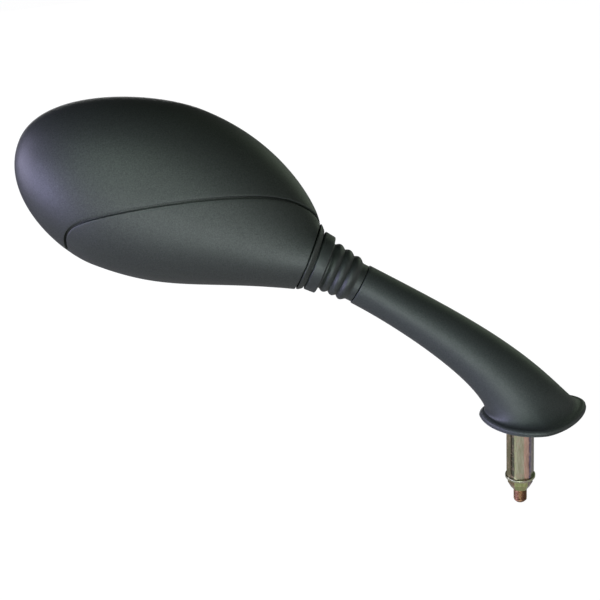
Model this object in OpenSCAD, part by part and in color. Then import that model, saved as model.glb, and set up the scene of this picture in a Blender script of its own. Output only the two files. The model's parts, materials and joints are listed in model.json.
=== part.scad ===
// Handlebar mirror: an egg-shaped glass housing on a ball joint in a rubber bellows,
// carried by a tapered arm whose round foot is held by a threaded stud.
// Origin: on the stud axis, in the plane of the nut's lower face, where the stud's free end
// begins. +Z points up along the stud axis, the housing reaches towards -X and the glass
// looks towards +Y.

/* [Arm] */
// Distance of the ball's centre to the left of the stud
ball_left = 112; // [105:1:122]
// Distance of the ball's centre behind the stud, on the glass side
ball_behind = 35.5; // [30:0.5:40]
// Height of the ball's centre above the foot
ball_up = 90; // [84:1:98]
// Lean of the arm's end away from the upright
arm_lean = 65; // [60:1:70]
// Slope of the arm's end down towards the foot
arm_slope = 30.8; // [27:0.1:34]
// Turn of the arm's end out of the housing's own plane
arm_turn = 4.5; // [2:0.5:7]
// Radius of the arm at its shoulder, next to the bellows
shoulder_r = 12.3; // [11:0.1:13]
// Distance from the ball's centre to the shoulder
shoulder_at = 26.4; // [26:0.1:29]
// Radius of the spigot that the bellows slips over
spigot_r = 9.2; // [8.5:0.1:9.6]
// Length of the spigot
spigot_len = 6; // [4:0.5:7]
// Depth of the arm from front to back half way along
arm_mid_depth = 27; // [24:1:32]
// Wall of the hollow foot
foot_wall = 3.2; // [2.5:0.1:4.5]
// Half the width of the foot
foot_r = 32; // [31:0.1:36]
// Depth of the foot's front half
foot_front = 31.9; // [31:0.1:36]
// Depth of the foot's flatter back half
foot_back = 16.5; // [15:0.5:22]
// Distance of the foot's widest line to the right of the stud
foot_right = 8.1; // [6:0.1:10]
// Distance of the foot's widest line behind the stud
foot_behind = 4.9; // [4:0.1:7]
// Height of the foot's lip
lip_h = 3.3; // [2.6:0.1:4.2]
// Radius of the boss that the stud is screwed into
boss_r = 11; // [10.5:0.5:13]
// Height of the boss's lower face above the foot's underside
boss_lift = 2; // [1:0.5:4]
// Depth to which the foot is hollow
hollow_h = 26; // [20:1:30]

/* [Stud] */
// Diameter of the threaded stud
stud_d = 8; // [8:1:8]
// Length of the stud's free end below the nut
stud_free = 9; // [6:0.1:16]
// Length of the stud inside the arm, above the foot's underside
stud_rise = 24; // [20:1:28]
// Width across the flats of the long sleeve
sleeve_af = 14.7; // [14:0.1:17]
// Distance from the foot's underside down to the sleeve's lower end
sleeve_drop = 39.6; // [34:0.1:40]
// Diameter of the washer
washer_d = 18; // [17:0.5:22]
// Thickness of the washer
washer_t = 1.6; // [1:0.1:2.5]
// Width across the flats of the nut, and of the insert moulded into the arm
nut_af = 13; // [13:0.1:15]
// Height of the nut
nut_h = 8; // [6:0.1:9]
// Height of the insert
insert_h = 8; // [6:0.1:9]
// Height of the insert's lower face above the foot's underside
insert_up = 8; // [6:0.5:10]

/* [Ball joint] */
// Radius of the ball
ball_r = 7; // [6.5:0.1:7.5]
// Wall of the plastic seat around the ball
seat_wall = 1.2; // [1:0.1:1.3]
// Radius of the ball's waist, where its shank begins
waist_r = 3.2; // [2.8:0.1:3.5]
// Radius of the ball's shank inside the arm
shank_r = 4; // [3.5:0.1:4.5]
// Distance from the ball's centre to the shank's end
shank_reach = 46; // [40:1:52]
// Radius of the socket's flanges
socket_r = 14.2; // [13.8:0.1:14.3]
// Thickness of the clamp plate's flange
clamp_t = 2.5; // [2:0.1:3]
// Distance from the ball's centre to the clamp plate's mouth
clamp_mouth = 4.6; // [4:0.1:5]
// Radius of the circle that the clamp screws stand on
clamp_bolt_r = 11.8; // [11.7:0.1:11.9]
// Diameter of the clamp screws
clamp_bolt_d = 3; // [2.5:0.5:3]
// Tilt of the housing against the arm's axis, as it stands
rest_tilt = 6.2; // [0:0.1:8]

/* [Bellows] */
// Radius of the bellows' wide band
band_r = 17.4; // [16.8:0.1:17.8]
// Distance from the ball's centre to the band's end towards the arm
band_end = 3; // [2:0.5:3.5]
// Radius of the first fold
fold_r = 14.9; // [14.5:0.1:15.5]
// Radius of the last fold
last_fold_r = 13.8; // [13.2:0.1:14.5]
// Number of folds
folds = 3; // [2:1:4]
// Distance from one fold to the next
fold_pitch = 5.8; // [5:0.1:6]
// Depth of the grooves between the folds
fold_depth = 1.5; // [1.2:0.1:2]
// Radius of the cuff at the arm
cuff_r = 11.6; // [10.6:0.1:11.7]
// Wall of the bellows
boot_wall = 1.4; // [1.2:0.1:1.6]

/* [Housing] */
// Length of the housing from its tip to the mouth of its neck
head_len = 180.3; // [170:1:195]
// Distance from the ball's centre to the mouth of the neck
mouth_at = 8.8; // [8.5:0.1:10]
// Radius of the neck
neck_r = 19.5; // [19:0.1:21]
// Height of the mouth's top over that of a round one
neck_rise = 2.8; // [0:0.1:3.5]
// Reach of the outline above the neck's axis
head_rise = 59.4; // [55:0.1:64]
// Reach of the outline below the neck's axis
head_drop = 48.5; // [44:0.1:53]
// Distance from the neck's mouth back to the highest point
rise_at = 87.6; // [80:0.1:96]
// Distance from the neck's mouth back to the lowest point
drop_at = 114.6; // [108:0.1:122]
// Height of the tip above the neck's axis
tip_rise = 3.4; // [0:0.1:8]
// Reach of the housing's back behind the neck's axis
back_depth = 25; // [22:0.5:30]
// Distance of the parting line in front of the neck's axis
rim_front = 12; // [10:0.5:14]
// Depth of the front frame from the parting line
bezel_depth = 12; // [10.5:0.5:14]
// Wall of the housing
shell_wall = 2.4; // [2:0.1:3]

/* [Lower cover] */
// Wall of the lower cover
cover_wall = 2; // [1.8:0.1:2.2]
// Width of the groove around the lower cover
seam_w = 1; // [0.8:0.1:1.4]
// Distance from the neck's mouth back to the cover's nose
nose_at = 134; // [128:1:140]
// Distance of the cover's nose below the neck's axis
nose_drop = 38.5; // [36:0.5:40]
// Distance from the neck's mouth back to the crest of the seam
crest_at = 15; // [13:1:20]
// Height of the seam's crest above the neck's axis
crest_rise = 28.3; // [26:0.1:29]
// Width of the ledge that the cover rests on
ledge_w = 5; // [4:0.5:6]

/* [Glass] */
// Thickness of the glass
glass_t = 2; // [1.8:0.1:3]
// Radius of curvature of the convex glass
glass_curve_r = 1400; // [1000:50:1800]
// Thickness of the adhesive pad
pad_t = 0.8; // [0.5:0.1:1.2]
// Thickness of the plate behind the glass
backing_t = 1.6; // [1.4:0.1:2]
// Width of the front frame around the glass
frame_w = 6.5; // [6:0.1:8]
// Cover of the front frame over the glass's edge
lip_w = 2.5; // [2:0.1:3]
// Thickness of the front frame's lip
lip_t = 1.5; // [1.2:0.1:1.8]
// Depth of the glass behind the front frame's foremost edge
glass_inset = 3.2; // [3:0.1:3.6]
// Distance from the neck's mouth back to the glass's near end
glass_end = 22; // [19:0.5:26]

/* [Hidden] */

// Gap between moving curved faces, and around pieces that are dropped into place
gap = 0.3;
// Clearance of a screwed or pressed shank in its bore
fit = 0.05;
// Overlap of a cutter past the face that it cuts
over = 1;
$fn = 48;

stud_r = stud_d / 2;
// Pitch radius, at which threads that are screwed together are modelled
thread_r = stud_r - 0.4;
nut_foot = sleeve_drop + washer_t + nut_h;
stud_drop = nut_foot + stud_free;
ball_at = [-ball_left, ball_behind, ball_up];
mouth_x = -mouth_at;
tip_x = mouth_x - head_len;

function mix(a, b, t) = a + (b - a) * t;
function clamp01(t) = max(0, min(1, t));
function ease(t) = clamp01(t) * clamp01(t) * (3 - 2 * clamp01(t));
function bezier(a, b, c, d, t) =
    a * pow(1 - t, 3) + 3 * b * t * pow(1 - t, 2) + 3 * c * t * t * (1 - t) + d * pow(t, 3);
function curve(a, b, c, d, n) = [for (i = [0 : n]) bezier(a, b, c, d, i / n)];
function unit(v) = v / norm(v);
function signed_pow(v, e) = sign(v) * pow(abs(v), e);
function turn_z(p, a) = [p.x * cos(a) - p.y * sin(a), p.x * sin(a) + p.y * cos(a), p.z];
function turn_y(p, a) = [p.x * cos(a) + p.z * sin(a), p.y, p.z * cos(a) - p.x * sin(a)];
function turn_x(p, a) = [p.x, p.y * cos(a) - p.z * sin(a), p.y * sin(a) + p.z * cos(a)];
function mean_of(pts) = [for (i = [0 : 2]) [for (p = pts) p[i]] * [for (p = pts) 1] / len(pts)];

// The foot's frame: origin on the stud axis, in the plane of the foot's underside
module foot_frame() {
    translate([0, 0, nut_foot]) children();
}

// The arm's end frame, from the foot's: origin in the ball, X along the shank towards the arm
module arm_frame() {
    translate(ball_at)
        rotate([arm_lean, 0, 0])
            rotate([0, 0, -arm_slope])
                rotate([0, arm_turn, 0])
                    children();
}

function from_arm(p) = ball_at + dir_from_arm(p);
function dir_from_arm(p) = turn_x(turn_z(turn_y(p, arm_turn), -arm_slope), arm_lean);

// The housing's frame: origin in the ball, X along the neck, Z towards the housing's back
module head_frame() {
    foot_frame() arm_frame() rotate([0, 0, rest_tilt]) children();
}

// A solid of revolution about X, from a profile of [distance along X, radius]
module turned(profile) {
    rotate([0, 90, 0])
        rotate([0, 0, 180])
            rotate_extrude()
                polygon([for (p = profile) [p.y, p.x]]);
}

// A closed skin over rings of equally many points, with a fan over each end
module skin(rings) {
    n = len(rings[0]);
    m = len(rings);
    points = concat([for (r = rings) each r], [mean_of(rings[0]), mean_of(rings[m - 1])]);
    sides = [for (i = [0 : m - 2], j = [0 : n - 1]) let (k = (j + 1) % n)
        each [[i * n + j, i * n + k, (i + 1) * n + k], [i * n + j, (i + 1) * n + k, (i + 1) * n + j]]];
    first = [for (j = [0 : n - 1]) [m * n, (j + 1) % n, j]];
    last = [for (j = [0 : n - 1]) [m * n + 1, (m - 1) * n + j, (m - 1) * n + (j + 1) % n]];
    polyhedron(points, concat(sides, first, last), convexity = 8);
}

// Housing outline: two rails run from the tip over the widest points to the neck's mouth.
// t is 0 at the tip, 1 at the widest point and 2 at the mouth; k moves the rail inwards.
tip_handle = 33.5;
rise_handle_out = 31;
rise_handle_in = 51.7;
neck_handle_up = 12;
neck_slope_up = unit([-1, 1.5]);
drop_handle_out = 23.5;
drop_handle_in = 46.8;
neck_handle_down = 56;
neck_slope_down = unit([-1, -0.28]);

function rail_tip(k) = [tip_x + k, tip_rise];
function rail_rise(k) = [mouth_x - rise_at, head_rise - k];
function rail_drop(k) = [mouth_x - drop_at, k - head_drop];

function upper_rail(t, k) = t < 1
    ? bezier(rail_tip(k), rail_tip(k) + [0, tip_handle], rail_rise(k) - [rise_handle_out, 0],
        rail_rise(k), t)
    : bezier(rail_rise(k), rail_rise(k) + [rise_handle_in, 0],
        [mouth_x, neck_r + neck_rise - k] + neck_handle_up * neck_slope_up,
        [mouth_x, neck_r + neck_rise - k], t - 1);
function lower_rail(t, k) = t < 1
    ? bezier(rail_tip(k), rail_tip(k) - [0, tip_handle], rail_drop(k) - [drop_handle_out, 0],
        rail_drop(k), t)
    : bezier(rail_drop(k), rail_drop(k) + [drop_handle_in, 0],
        [mouth_x, k - neck_r] + neck_handle_down * neck_slope_down, [mouth_x, k - neck_r], t - 1);

// Depth of the housing along the rails: back, parting line and front
crown = 2.4;
tip_round = 0.16;
neck_blend = 0.65;
function towards_neck(t) = ease((t - 2 + neck_blend) / neck_blend);
function part_z(t) = mix(-rim_front, 0, towards_neck(t));
function back_z(t, k) = t < 1
    ? -rim_front + (back_depth + rim_front - k) * (1 - pow(1 - t, crown))
    : mix(back_depth, neck_r, ease(t - 1)) - k;
function sag(r) = glass_curve_r - sqrt(pow(glass_curve_r, 2) - r * r);
function frame_edge(t) = norm([lower_rail(t, 0).x - dish_centre.x, lower_rail(t, 0).y - dish_centre.y]);
function tip_close(t) = t < tip_round ? sqrt(1 - pow(1 - t / tip_round, 2)) : 1;
function front_z(t, k) = part_z(t) + tip_close(t) * (mix(bezel_front + sag(frame_edge(t)) + min(k, lip_t),
    k - neck_r, towards_neck(t)) - part_z(t));

// Section of the housing at t: rounded towards the back, squarer towards the front
back_square = 2.2;
front_square = 6;
head_sides = 32;
function head_point(t, k, a) =
    let (u = upper_rail(t, k), l = lower_rail(t, k), c = (u + l) / 2, r = (u - l) / 2,
        rear = sin(a) >= 0,
        e = 2 / mix(rear ? back_square : front_square, 2, towards_neck(t)),
        h = rear ? back_z(t, k) - part_z(t) : part_z(t) - front_z(t, k),
        q = c + r * signed_pow(cos(a), e))
    [q.x, q.y, part_z(t) + h * signed_pow(sin(a), e)];
function head_ring(t, k) = [for (j = [0 : head_sides - 1]) head_point(t, k, -j * 360 / head_sides)];
head_steps = concat([0.02, 0.08, 0.2, 0.31, 0.44, 0.58, 0.72, 0.86], [for (i = [0 : 12]) 1 + i / 12]);

// The housing's whole body, shrunk by k on all sides; reach lengthens it through the mouth
module head_body(k, reach = 0) {
    rings = [for (t = head_steps) head_ring(t, k)];
    past = [for (p = rings[len(rings) - 1]) p + [reach, 0, 0]];
    skin(reach > 0 ? concat(rings, [past]) : rings);
}

// Everything behind the parting line, lowered by d
module behind_parting(d = 0) {
    top = back_depth + 20;
    steps = [1, 1.35, 1.5, 1.65, 1.8, 1.9, 2];
    line = [for (t = steps) [upper_rail(t, 0).x, part_z(t) - d]];
    rotate([90, 0, 0])
        translate([0, 0, -head_rise - 20])
            linear_extrude(head_rise + head_drop + 40)
                polygon(concat([[tip_x - 20, -rim_front - d]], line,
                    [[mouth_x + 20, -d], [mouth_x + 20, top], [tip_x - 20, top]]));
}

// Outline of the lower cover, seen from behind: a rounded nose and a long rising seam
nose = [mouth_x - nose_at, -nose_drop];
crest = [mouth_x - crest_at, crest_rise];
nose_top = nose + [14.5, 17.5];
cover_below = -head_drop - 20;
function cover_outline() = concat(
    curve([nose.x + 9, nose.y - 14], [nose.x + 3, nose.y - 9], nose - [0, 4], nose, 4),
    curve(nose, nose + [0, 6], nose_top - [8, 6.4], nose_top, 5),
    curve(nose_top, nose_top + [30, 24], crest - [40, 0], crest, 12),
    curve(crest, crest + [7, 0], [mouth_x - 2, crest_rise - 3], [mouth_x + 2, crest_rise - 6], 4),
    [[mouth_x + 2, cover_below], [nose.x + 9, cover_below]]);
module cover_prism(grow) {
    translate([0, 0, -rim_front - bezel_depth])
        linear_extrude(back_depth + rim_front + bezel_depth + 20)
            offset(delta = grow)
                polygon(cover_outline());
}

// Outline of the glass and of what lies behind it: the housing's outline moved in by k,
// closed by a round end in front of the neck
glass_mid = 4;
neck_end_up = 18;
neck_end_down = 16;
function inner_outline(k, end) =
    let (e = [mouth_x - end, glass_mid], u = rail_rise(k), l = rail_drop(k), p = rail_tip(k))
    concat(
        curve(p, p + [0, tip_handle], u - [rise_handle_out, 0], u, 10),
        curve(u, u + [rise_handle_in, 0], e + [0, neck_end_up], e, 12),
        curve(e, e - [0, neck_end_down], l + [drop_handle_in, 0], l, 12),
        curve(l, l - [drop_handle_out, 0], p - [0, tip_handle], p, 10));

// A place in the housing: u of its length from the mouth, v of its rise or drop from the axis
function place(u, v) = [mouth_x - u * head_len, v * (v > 0 ? head_rise : head_drop)];

// A dished disc between two spheres, its front pole at height z0, t thick
dish_centre = place(0.5435, 0.084);
dish_r = 0.51 * head_len;
module dish(z0, t) {
    n = 8;
    radii = [for (i = [0 : n]) dish_r * i / n];
    translate([dish_centre.x, dish_centre.y, z0])
        rotate_extrude($fn = 72)
            polygon(concat([for (r = radii) [r, sag(r)]],
                [for (i = [n : -1 : 0]) [radii[i], sag(radii[i]) + t]]));
}

bezel_front = -rim_front - bezel_depth;
glass_front = bezel_front + glass_inset;
pad_front = glass_front + glass_t;
backing_front = pad_front + pad_t;

// Screws that hold the inner frame to the rear shell, and the lower cover to the frame
frame_t = 2.5;
frame_top = -8;
frame_posts = [place(0.793, 0.337), place(0.793, -0.33), place(0.532, 0.673), place(0.244, 0.606)];
cover_posts = [[mouth_x - 0.687 * nose_at, -0.495 * head_drop],
    [mouth_x - 0.3134 * nose_at, -0.35 * head_drop]];
stand_off_at = [place(0.865, 0.034), place(0.654, 0.606), place(0.333, 0.64),
    place(0.654, -0.536), place(0.344, -0.454), place(0.194, 0.135)];
window_r = 12;
post_r = 4;
screw_r = 1.5;
screw_head_r = 3.2;
screw_head_h = 2;
screw_len = 12;

module posts(places) {
    for (p = places)
        translate([p.x, p.y, frame_top])
            cylinder(r = post_r, h = back_depth - frame_top + 10);
}
module post_bores(places) {
    for (p = places)
        translate([p.x, p.y, frame_top - over])
            cylinder(r = screw_r + fit, h = screw_len - frame_t + over + 1);
}
module plate_screws(places) {
    for (p = places)
        translate([p.x, p.y, frame_top - frame_t]) {
            cylinder(r = screw_r, h = screw_len);
            translate([0, 0, -screw_head_h])
                cylinder(r1 = screw_head_r * 0.8, r2 = screw_head_r, h = screw_head_h);
        }
}

module rear_shell() color([0.17, 0.18, 0.19]) head_frame() difference() {
    union() {
        difference() {
            head_body(0);
            head_body(shell_wall, over);
            cover_prism(seam_w / 2);
        }
        difference() {
            intersection() {
                head_body(shell_wall / 2);
                cover_prism(seam_w / 2 + 2);
            }
            head_body(cover_wall + gap + shell_wall / 2 + 0.4, over);
            cover_prism(-ledge_w);
            difference() {
                cover_prism(seam_w / 2);
                head_body(cover_wall + gap, over);
            }
        }
        intersection() {
            head_body(shell_wall / 2);
            posts(frame_posts);
        }
    }
    difference() {
        translate([tip_x - 10, -head_drop - 10, bezel_front - 10])
            cube([head_len + 30, head_rise + head_drop + 20, back_depth - bezel_front + 20]);
        behind_parting();
    }
    post_bores(frame_posts);
    translate([collar_rear - collar_skirt - gap, 0, 0])
        rotate([0, 90, 0])
            cylinder(r = collar_skirt_r + gap, h = collar_skirt + gap + over);
}

module lower_cover() color([0.19, 0.2, 0.21]) head_frame() difference() {
    union() {
        intersection() {
            difference() {
                head_body(0);
                head_body(cover_wall, over);
            }
            cover_prism(-seam_w / 2);
        }
        intersection() {
            head_body(cover_wall / 2);
            posts(cover_posts);
        }
    }
    difference() {
        translate([tip_x - 10, -head_drop - 10, bezel_front - 10])
            cube([head_len + 30, head_rise + head_drop + 20, back_depth - bezel_front + 20]);
        behind_parting();
    }
    post_bores(cover_posts);
}

module front_bezel() color([0.12, 0.12, 0.13]) head_frame() difference() {
    head_body(0);
    behind_parting(gap);
    head_body(shell_wall, over);
    translate([0, 0, bezel_front - over])
        linear_extrude(back_depth)
            polygon(inner_outline(frame_w, glass_end + lip_w));
    intersection() {
        dish(glass_front - fit, bezel_depth);
        translate([0, 0, bezel_front])
            linear_extrude(2 * bezel_depth)
                polygon(inner_outline(frame_w - lip_w - gap, glass_end - gap));
    }
}

module mirror_glass() color([0.78, 0.82, 0.85]) head_frame() intersection() {
    dish(glass_front, glass_t);
    translate([0, 0, bezel_front - 5])
        linear_extrude(20)
            polygon(inner_outline(frame_w - lip_w, glass_end));
}

module glass_pad() color([0.3, 0.3, 0.3]) head_frame() intersection() {
    dish(pad_front, pad_t);
    translate([0, 0, bezel_front - 5])
        linear_extrude(20)
            polygon(inner_outline(frame_w + 2, glass_end + 4));
}

module glass_backing() color([0.1, 0.1, 0.1]) head_frame() intersection() {
    dish(backing_front, backing_t);
    translate([0, 0, bezel_front - 5])
        linear_extrude(20)
            polygon(inner_outline(frame_w - lip_w, glass_end));
}

// Places of the three clamp screws around the neck's axis
module around_clamp() {
    for (i = [0 : 2])
        rotate([90 + i * 120, 0, 0])
            translate([0, clamp_bolt_r, 0])
                children();
}
clamp_front = 0;
clamp_rear = clamp_front - clamp_t;
carrier_front = clamp_rear - gap;
carrier_len = 10;
seat_in = ball_r + gap;
seat_out = seat_in + seat_wall;
pocket_r = seat_out + gap;
clamp_screw_len = 9;
clamp_head_r = clamp_bolt_d / 2 + 0.8;

module frame_gussets() {
    for (y = [-10, 10])
        translate([0, y + frame_t / 2, 0])
            rotate([90, 0, 0])
                linear_extrude(frame_t)
                    polygon([[carrier_front - carrier_len - 50, frame_top - 0.5],
                        [carrier_front - 6, frame_top - 0.5], [carrier_front - 6, 8],
                        [carrier_front - carrier_len, 8]]);
}

// Stand-offs in front of the plate, which the glass's backing rests against
module stand_offs() {
    intersection() {
        for (p = stand_off_at)
            translate([p.x, p.y, backing_front])
                cylinder(r = post_r, h = frame_top - frame_t / 2 - backing_front);
        dish(backing_front + backing_t + gap, backing_front * -1);
    }
}

module frame_windows() {
    for (i = [0 : 2])
        translate(concat(place(0.688 - 0.189 * i, 0.1), frame_top - frame_t - over))
            cylinder(r = window_r, h = frame_t + 2 * over);
}

module inner_frame() color([0.22, 0.22, 0.24]) head_frame() difference() {
    union() {
        translate([0, 0, frame_top - frame_t])
            linear_extrude(frame_t)
                polygon(inner_outline(9, 9));
        translate([carrier_front - carrier_len, 0, 0])
            rotate([0, 90, 0])
                cylinder(r = socket_r, h = carrier_len);
        frame_gussets();
        stand_offs();
    }
    sphere(r = pocket_r);
    around_clamp()
        translate([carrier_front - clamp_screw_len, 0, 0])
            rotate([0, 90, 0])
                cylinder(r = clamp_bolt_d / 2 + fit, h = clamp_screw_len + over);
    frame_windows();
    for (p = concat(frame_posts, cover_posts))
        translate([p.x, p.y, frame_top - frame_t - over])
            cylinder(r = screw_r + fit, h = frame_t + 2 * over);
}

module frame_screws() color("silver") head_frame() plate_screws(frame_posts);

module cover_screws() color("silver") head_frame() plate_screws(cover_posts);

// The clamp plate: a flange with a hub that closes over the front of the ball's seat
module clamp_plate() color([0.62, 0.63, 0.65]) head_frame() difference() {
    turned([[clamp_rear, 0], [clamp_rear, socket_r], [clamp_front, socket_r],
        [clamp_front, clamp_bolt_r - clamp_head_r - fit], [clamp_mouth, pocket_r + 0.2],
        [clamp_mouth, 0]]);
    sphere(r = pocket_r);
    around_clamp()
        translate([clamp_rear - over, 0, 0])
            rotate([0, 90, 0])
                cylinder(r = clamp_bolt_d / 2 + 0.1, h = clamp_t + 2 * over);
}

spring_t = 0.6;
module clamp_springs() color([0.7, 0.7, 0.72]) head_frame() around_clamp()
    translate([clamp_front, 0, 0])
        rotate([0, 90, 0])
            difference() {
                cylinder(r = clamp_head_r, h = spring_t);
                translate([0, 0, -over])
                    cylinder(r = clamp_bolt_d / 2 + 0.1, h = spring_t + 2 * over);
            }

clamp_head_h = 1.8;
module clamp_screws() color("silver") head_frame() around_clamp()
    translate([clamp_front + spring_t, 0, 0])
        turned([[-clamp_t - spring_t - gap - 7, 0], [-clamp_t - spring_t - gap - 7, clamp_bolt_d / 2],
            [0, clamp_bolt_d / 2], [0, clamp_head_r],
            [clamp_head_h - 0.5, clamp_head_r], [clamp_head_h, clamp_head_r - 0.5],
            [clamp_head_h, 0]]);

// The plastic seat: a spherical shell, open towards the shank
module ball_seat() color([0.9, 0.88, 0.8]) head_frame() difference() {
    sphere(r = seat_out);
    sphere(r = seat_in);
    translate([clamp_mouth, -seat_out - over, -seat_out - over])
        cube(2 * seat_out + 2 * over);
}

neck_gap = 0.9;
band_start = -3.7;
collar_r = neck_r - 0.6;
collar_rear = mouth_x + neck_gap;
collar_front = band_start - neck_gap;
collar_skirt = 6;
collar_skirt_r = neck_r - shell_wall - 0.5;
boot_tail_r = 15.9;
band_rise = 1.2;
// An upright oval disc across the neck, as wide as r and higher by rise at its top
module oval_disc(x, r, rise, t) {
    translate([x, rise / 2, 0])
        scale([1, (r + rise / 2) / r, 1])
            rotate([0, 90, 0])
                cylinder(r = r, h = t);
}

collar_edge = 1;
module neck_collar() color([0.15, 0.15, 0.16]) head_frame() difference() {
    union() {
        hull() {
            oval_disc(collar_rear, collar_r, neck_rise, collar_edge);
            oval_disc(collar_front - collar_edge, band_r, band_rise, collar_edge);
        }
        translate([collar_rear - collar_skirt, 0, 0])
            rotate([0, 90, 0])
                cylinder(r = collar_skirt_r, h = collar_skirt + collar_edge);
    }
    translate([collar_rear - collar_skirt - over, 0, 0])
        rotate([0, 90, 0])
            cylinder(r = socket_r + gap, h = collar_skirt + over);
    translate([collar_rear, 0, 0])
        rotate([0, 90, 0])
            cylinder(r = boot_tail_r + 0.1, h = collar_front - collar_rear + over);
}

// Bellows: its profile runs from the tail in the collar over the band and the folds to the
// cuff, and back inside. It is bent by the angle between housing and arm.
boot_tail = collar_rear + 0.2;
first_fold = band_end + fold_pitch * 0.75;
folds_end = first_fold + (folds - 0.5) * fold_pitch;
cuff_end = shoulder_at - gap;
cuff_in = spigot_r + 0.1;
fold_points = 6;
function fold_line(x) = mix(fold_r, last_fold_r, (x - first_fold) / (fold_pitch * (folds - 1)));
function fold_height(x) =
    fold_line(x) - fold_depth * (1 - abs(cos(180 * (x - first_fold) / fold_pitch)));
function boot_profile() =
    let (x0 = first_fold - fold_pitch / 2, n = folds * fold_points)
    concat(
        [[boot_tail, boot_tail_r], [band_start, boot_tail_r], [band_start, band_r - 0.6],
            [band_start + 0.6, band_r], [band_end - 0.8, band_r], [band_end, band_r - 0.8]],
        [for (i = [0 : n]) let (x = mix(x0, folds_end, i / n)) [x, fold_height(x)]],
        [[folds_end + 0.8, cuff_r], [cuff_end - 0.5, cuff_r], [cuff_end, cuff_r - 0.5],
            [cuff_end, cuff_in], [folds_end + 0.4, cuff_in]],
        [for (i = [4 : -1 : 0]) let (x = mix(x0 + 1, folds_end, i / 4))
            [x, fold_line(x) - fold_depth - boot_wall]],
        [[band_end - 0.6, band_r - boot_wall - 0.4], [band_start + 1, band_r - boot_wall - 0.4],
            [boot_tail, socket_r + 0.2]]);
function band_lift(p, a) = p.x < band_start || p.x > band_end || p.y <= boot_tail_r ? 0
    : band_rise * max(0, cos(a)) * (band_end - p.x) / (band_end - band_start);
function boot_bend(x) = -rest_tilt * ease((x - band_end) / (folds_end - band_end));
boot_sides = 32;

module neck_boot() color([0.14, 0.14, 0.15]) head_frame() {
    profile = boot_profile();
    m = len(profile);
    points = [for (p = profile, j = [0 : boot_sides - 1]) let (a = j * 360 / boot_sides)
        turn_z([p.x, p.y * cos(a) + band_lift(p, a), p.y * sin(a)], boot_bend(p.x))];
    faces = [for (i = [0 : m - 1], j = [0 : boot_sides - 1])
        let (i2 = (i + 1) % m, j2 = (j + 1) % boot_sides, n = boot_sides)
        each [[i * n + j, i2 * n + j2, i * n + j2], [i * n + j, i2 * n + j, i2 * n + j2]]];
    polyhedron(points, faces, convexity = 10);
}

// Steel ball with its waist, seat collar and shank
waist_end = 15;
module ball_stud() color([0.75, 0.75, 0.77]) foot_frame() arm_frame() union() {
    sphere(r = ball_r);
    turned([[0, 0], [0, waist_r], [waist_end, waist_r], [waist_end + 1, shank_r + 1.5],
        [shoulder_at - spigot_len, shank_r + 1.5], [shoulder_at - spigot_len, shank_r],
        [shank_reach - 1, shank_r], [shank_reach, shank_r - 1], [shank_reach, 0]]);
}

// Arm: sections spanned between an outer and an inner rail, both in space, and half as deep
// as the depth that goes with them. The sections end on the foot with a hollow fillet.
outer_start = [shoulder_at, shoulder_r, 0];
inner_start = [shoulder_at, -shoulder_r, 0];
outer_reach = 21;
inner_reach = 29.3;
outer_lift = 9.6;
inner_lift = 6.9;
throat_y = 1.5;
outer_start_handle = 49.5;
inner_start_handle = 33.4;
outer_end_handle = [-27.7, 9, 33.7];
inner_end_handle = [-3.9, 5, 15.1];
outer_end = [foot_right + outer_reach, throat_y, outer_lift];
inner_end = [foot_right - inner_reach, throat_y, inner_lift];
throat_depth = 17;
lip_round = 2.6;
arm_sides = 32;
arm_steps = 14;
flare_steps = 7;
flare_from = 0.86;
flare_down = 0.65;
flare_out = 0.16;
foot_point = 1.27;
foot_turn = 5.2;
bead = 0.7;
bead_h = 1;

function outer_rail(s, k) = bezier(
    from_arm(outer_start - [0, k, 0]),
    from_arm(outer_start - [0, k, 0] + [outer_start_handle, 0, 0]),
    outer_end - [k, 0, 0] + outer_end_handle,
    outer_end - [k, 0, 0], s);
function inner_rail(s, k) = bezier(
    from_arm(inner_start + [0, k, 0]),
    from_arm(inner_start + [0, k, 0] + [inner_start_handle, 0, 0]),
    inner_end + [k, 0, 0] + inner_end_handle,
    inner_end + [k, 0, 0], s);
function arm_half_depth(s, k) =
    bezier(shoulder_r, shoulder_r, arm_mid_depth / 2 + 1, throat_depth, s) - k;
function arm_side(s) = unit(mix(dir_from_arm([0, 0, -1]), [0, 1, 0], s));
function arm_ring(s, k) =
    let (o = outer_rail(s, k), i = inner_rail(s, k), c = (o + i) / 2, r = (o - i) / 2,
        w = arm_side(s) * arm_half_depth(s, k))
    [for (j = [0 : arm_sides - 1]) let (a = j * 360 / arm_sides) c + r * cos(a) + w * sin(a)];
function foot_ring(in, z) = [for (j = [0 : arm_sides - 1])
    let (a = j * 360 / arm_sides, e = cos(a) > 0 && sin(a) < 0 ? foot_point : 1)
    [foot_right, foot_behind, 0] + turn_z([(foot_r - in) * signed_pow(cos(a), e),
        ((sin(a) < 0 ? foot_front : foot_back) - in) * signed_pow(sin(a), e), z], foot_turn)];
function flare_ring(f, k) =
    let (a = arm_ring(flare_from, k), above = arm_ring(flare_from - 0.02, k),
        b = foot_ring(lip_round + k, lip_h), middle = [foot_right, foot_behind, lip_h])
    [for (j = [0 : arm_sides - 1])
        let (down = unit(a[j] - above[j]), out = unit(b[j] - middle), l = norm(b[j] - a[j]))
        bezier(a[j], a[j] + down * l * flare_down, b[j] - out * l * flare_out, b[j], f)];

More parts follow.
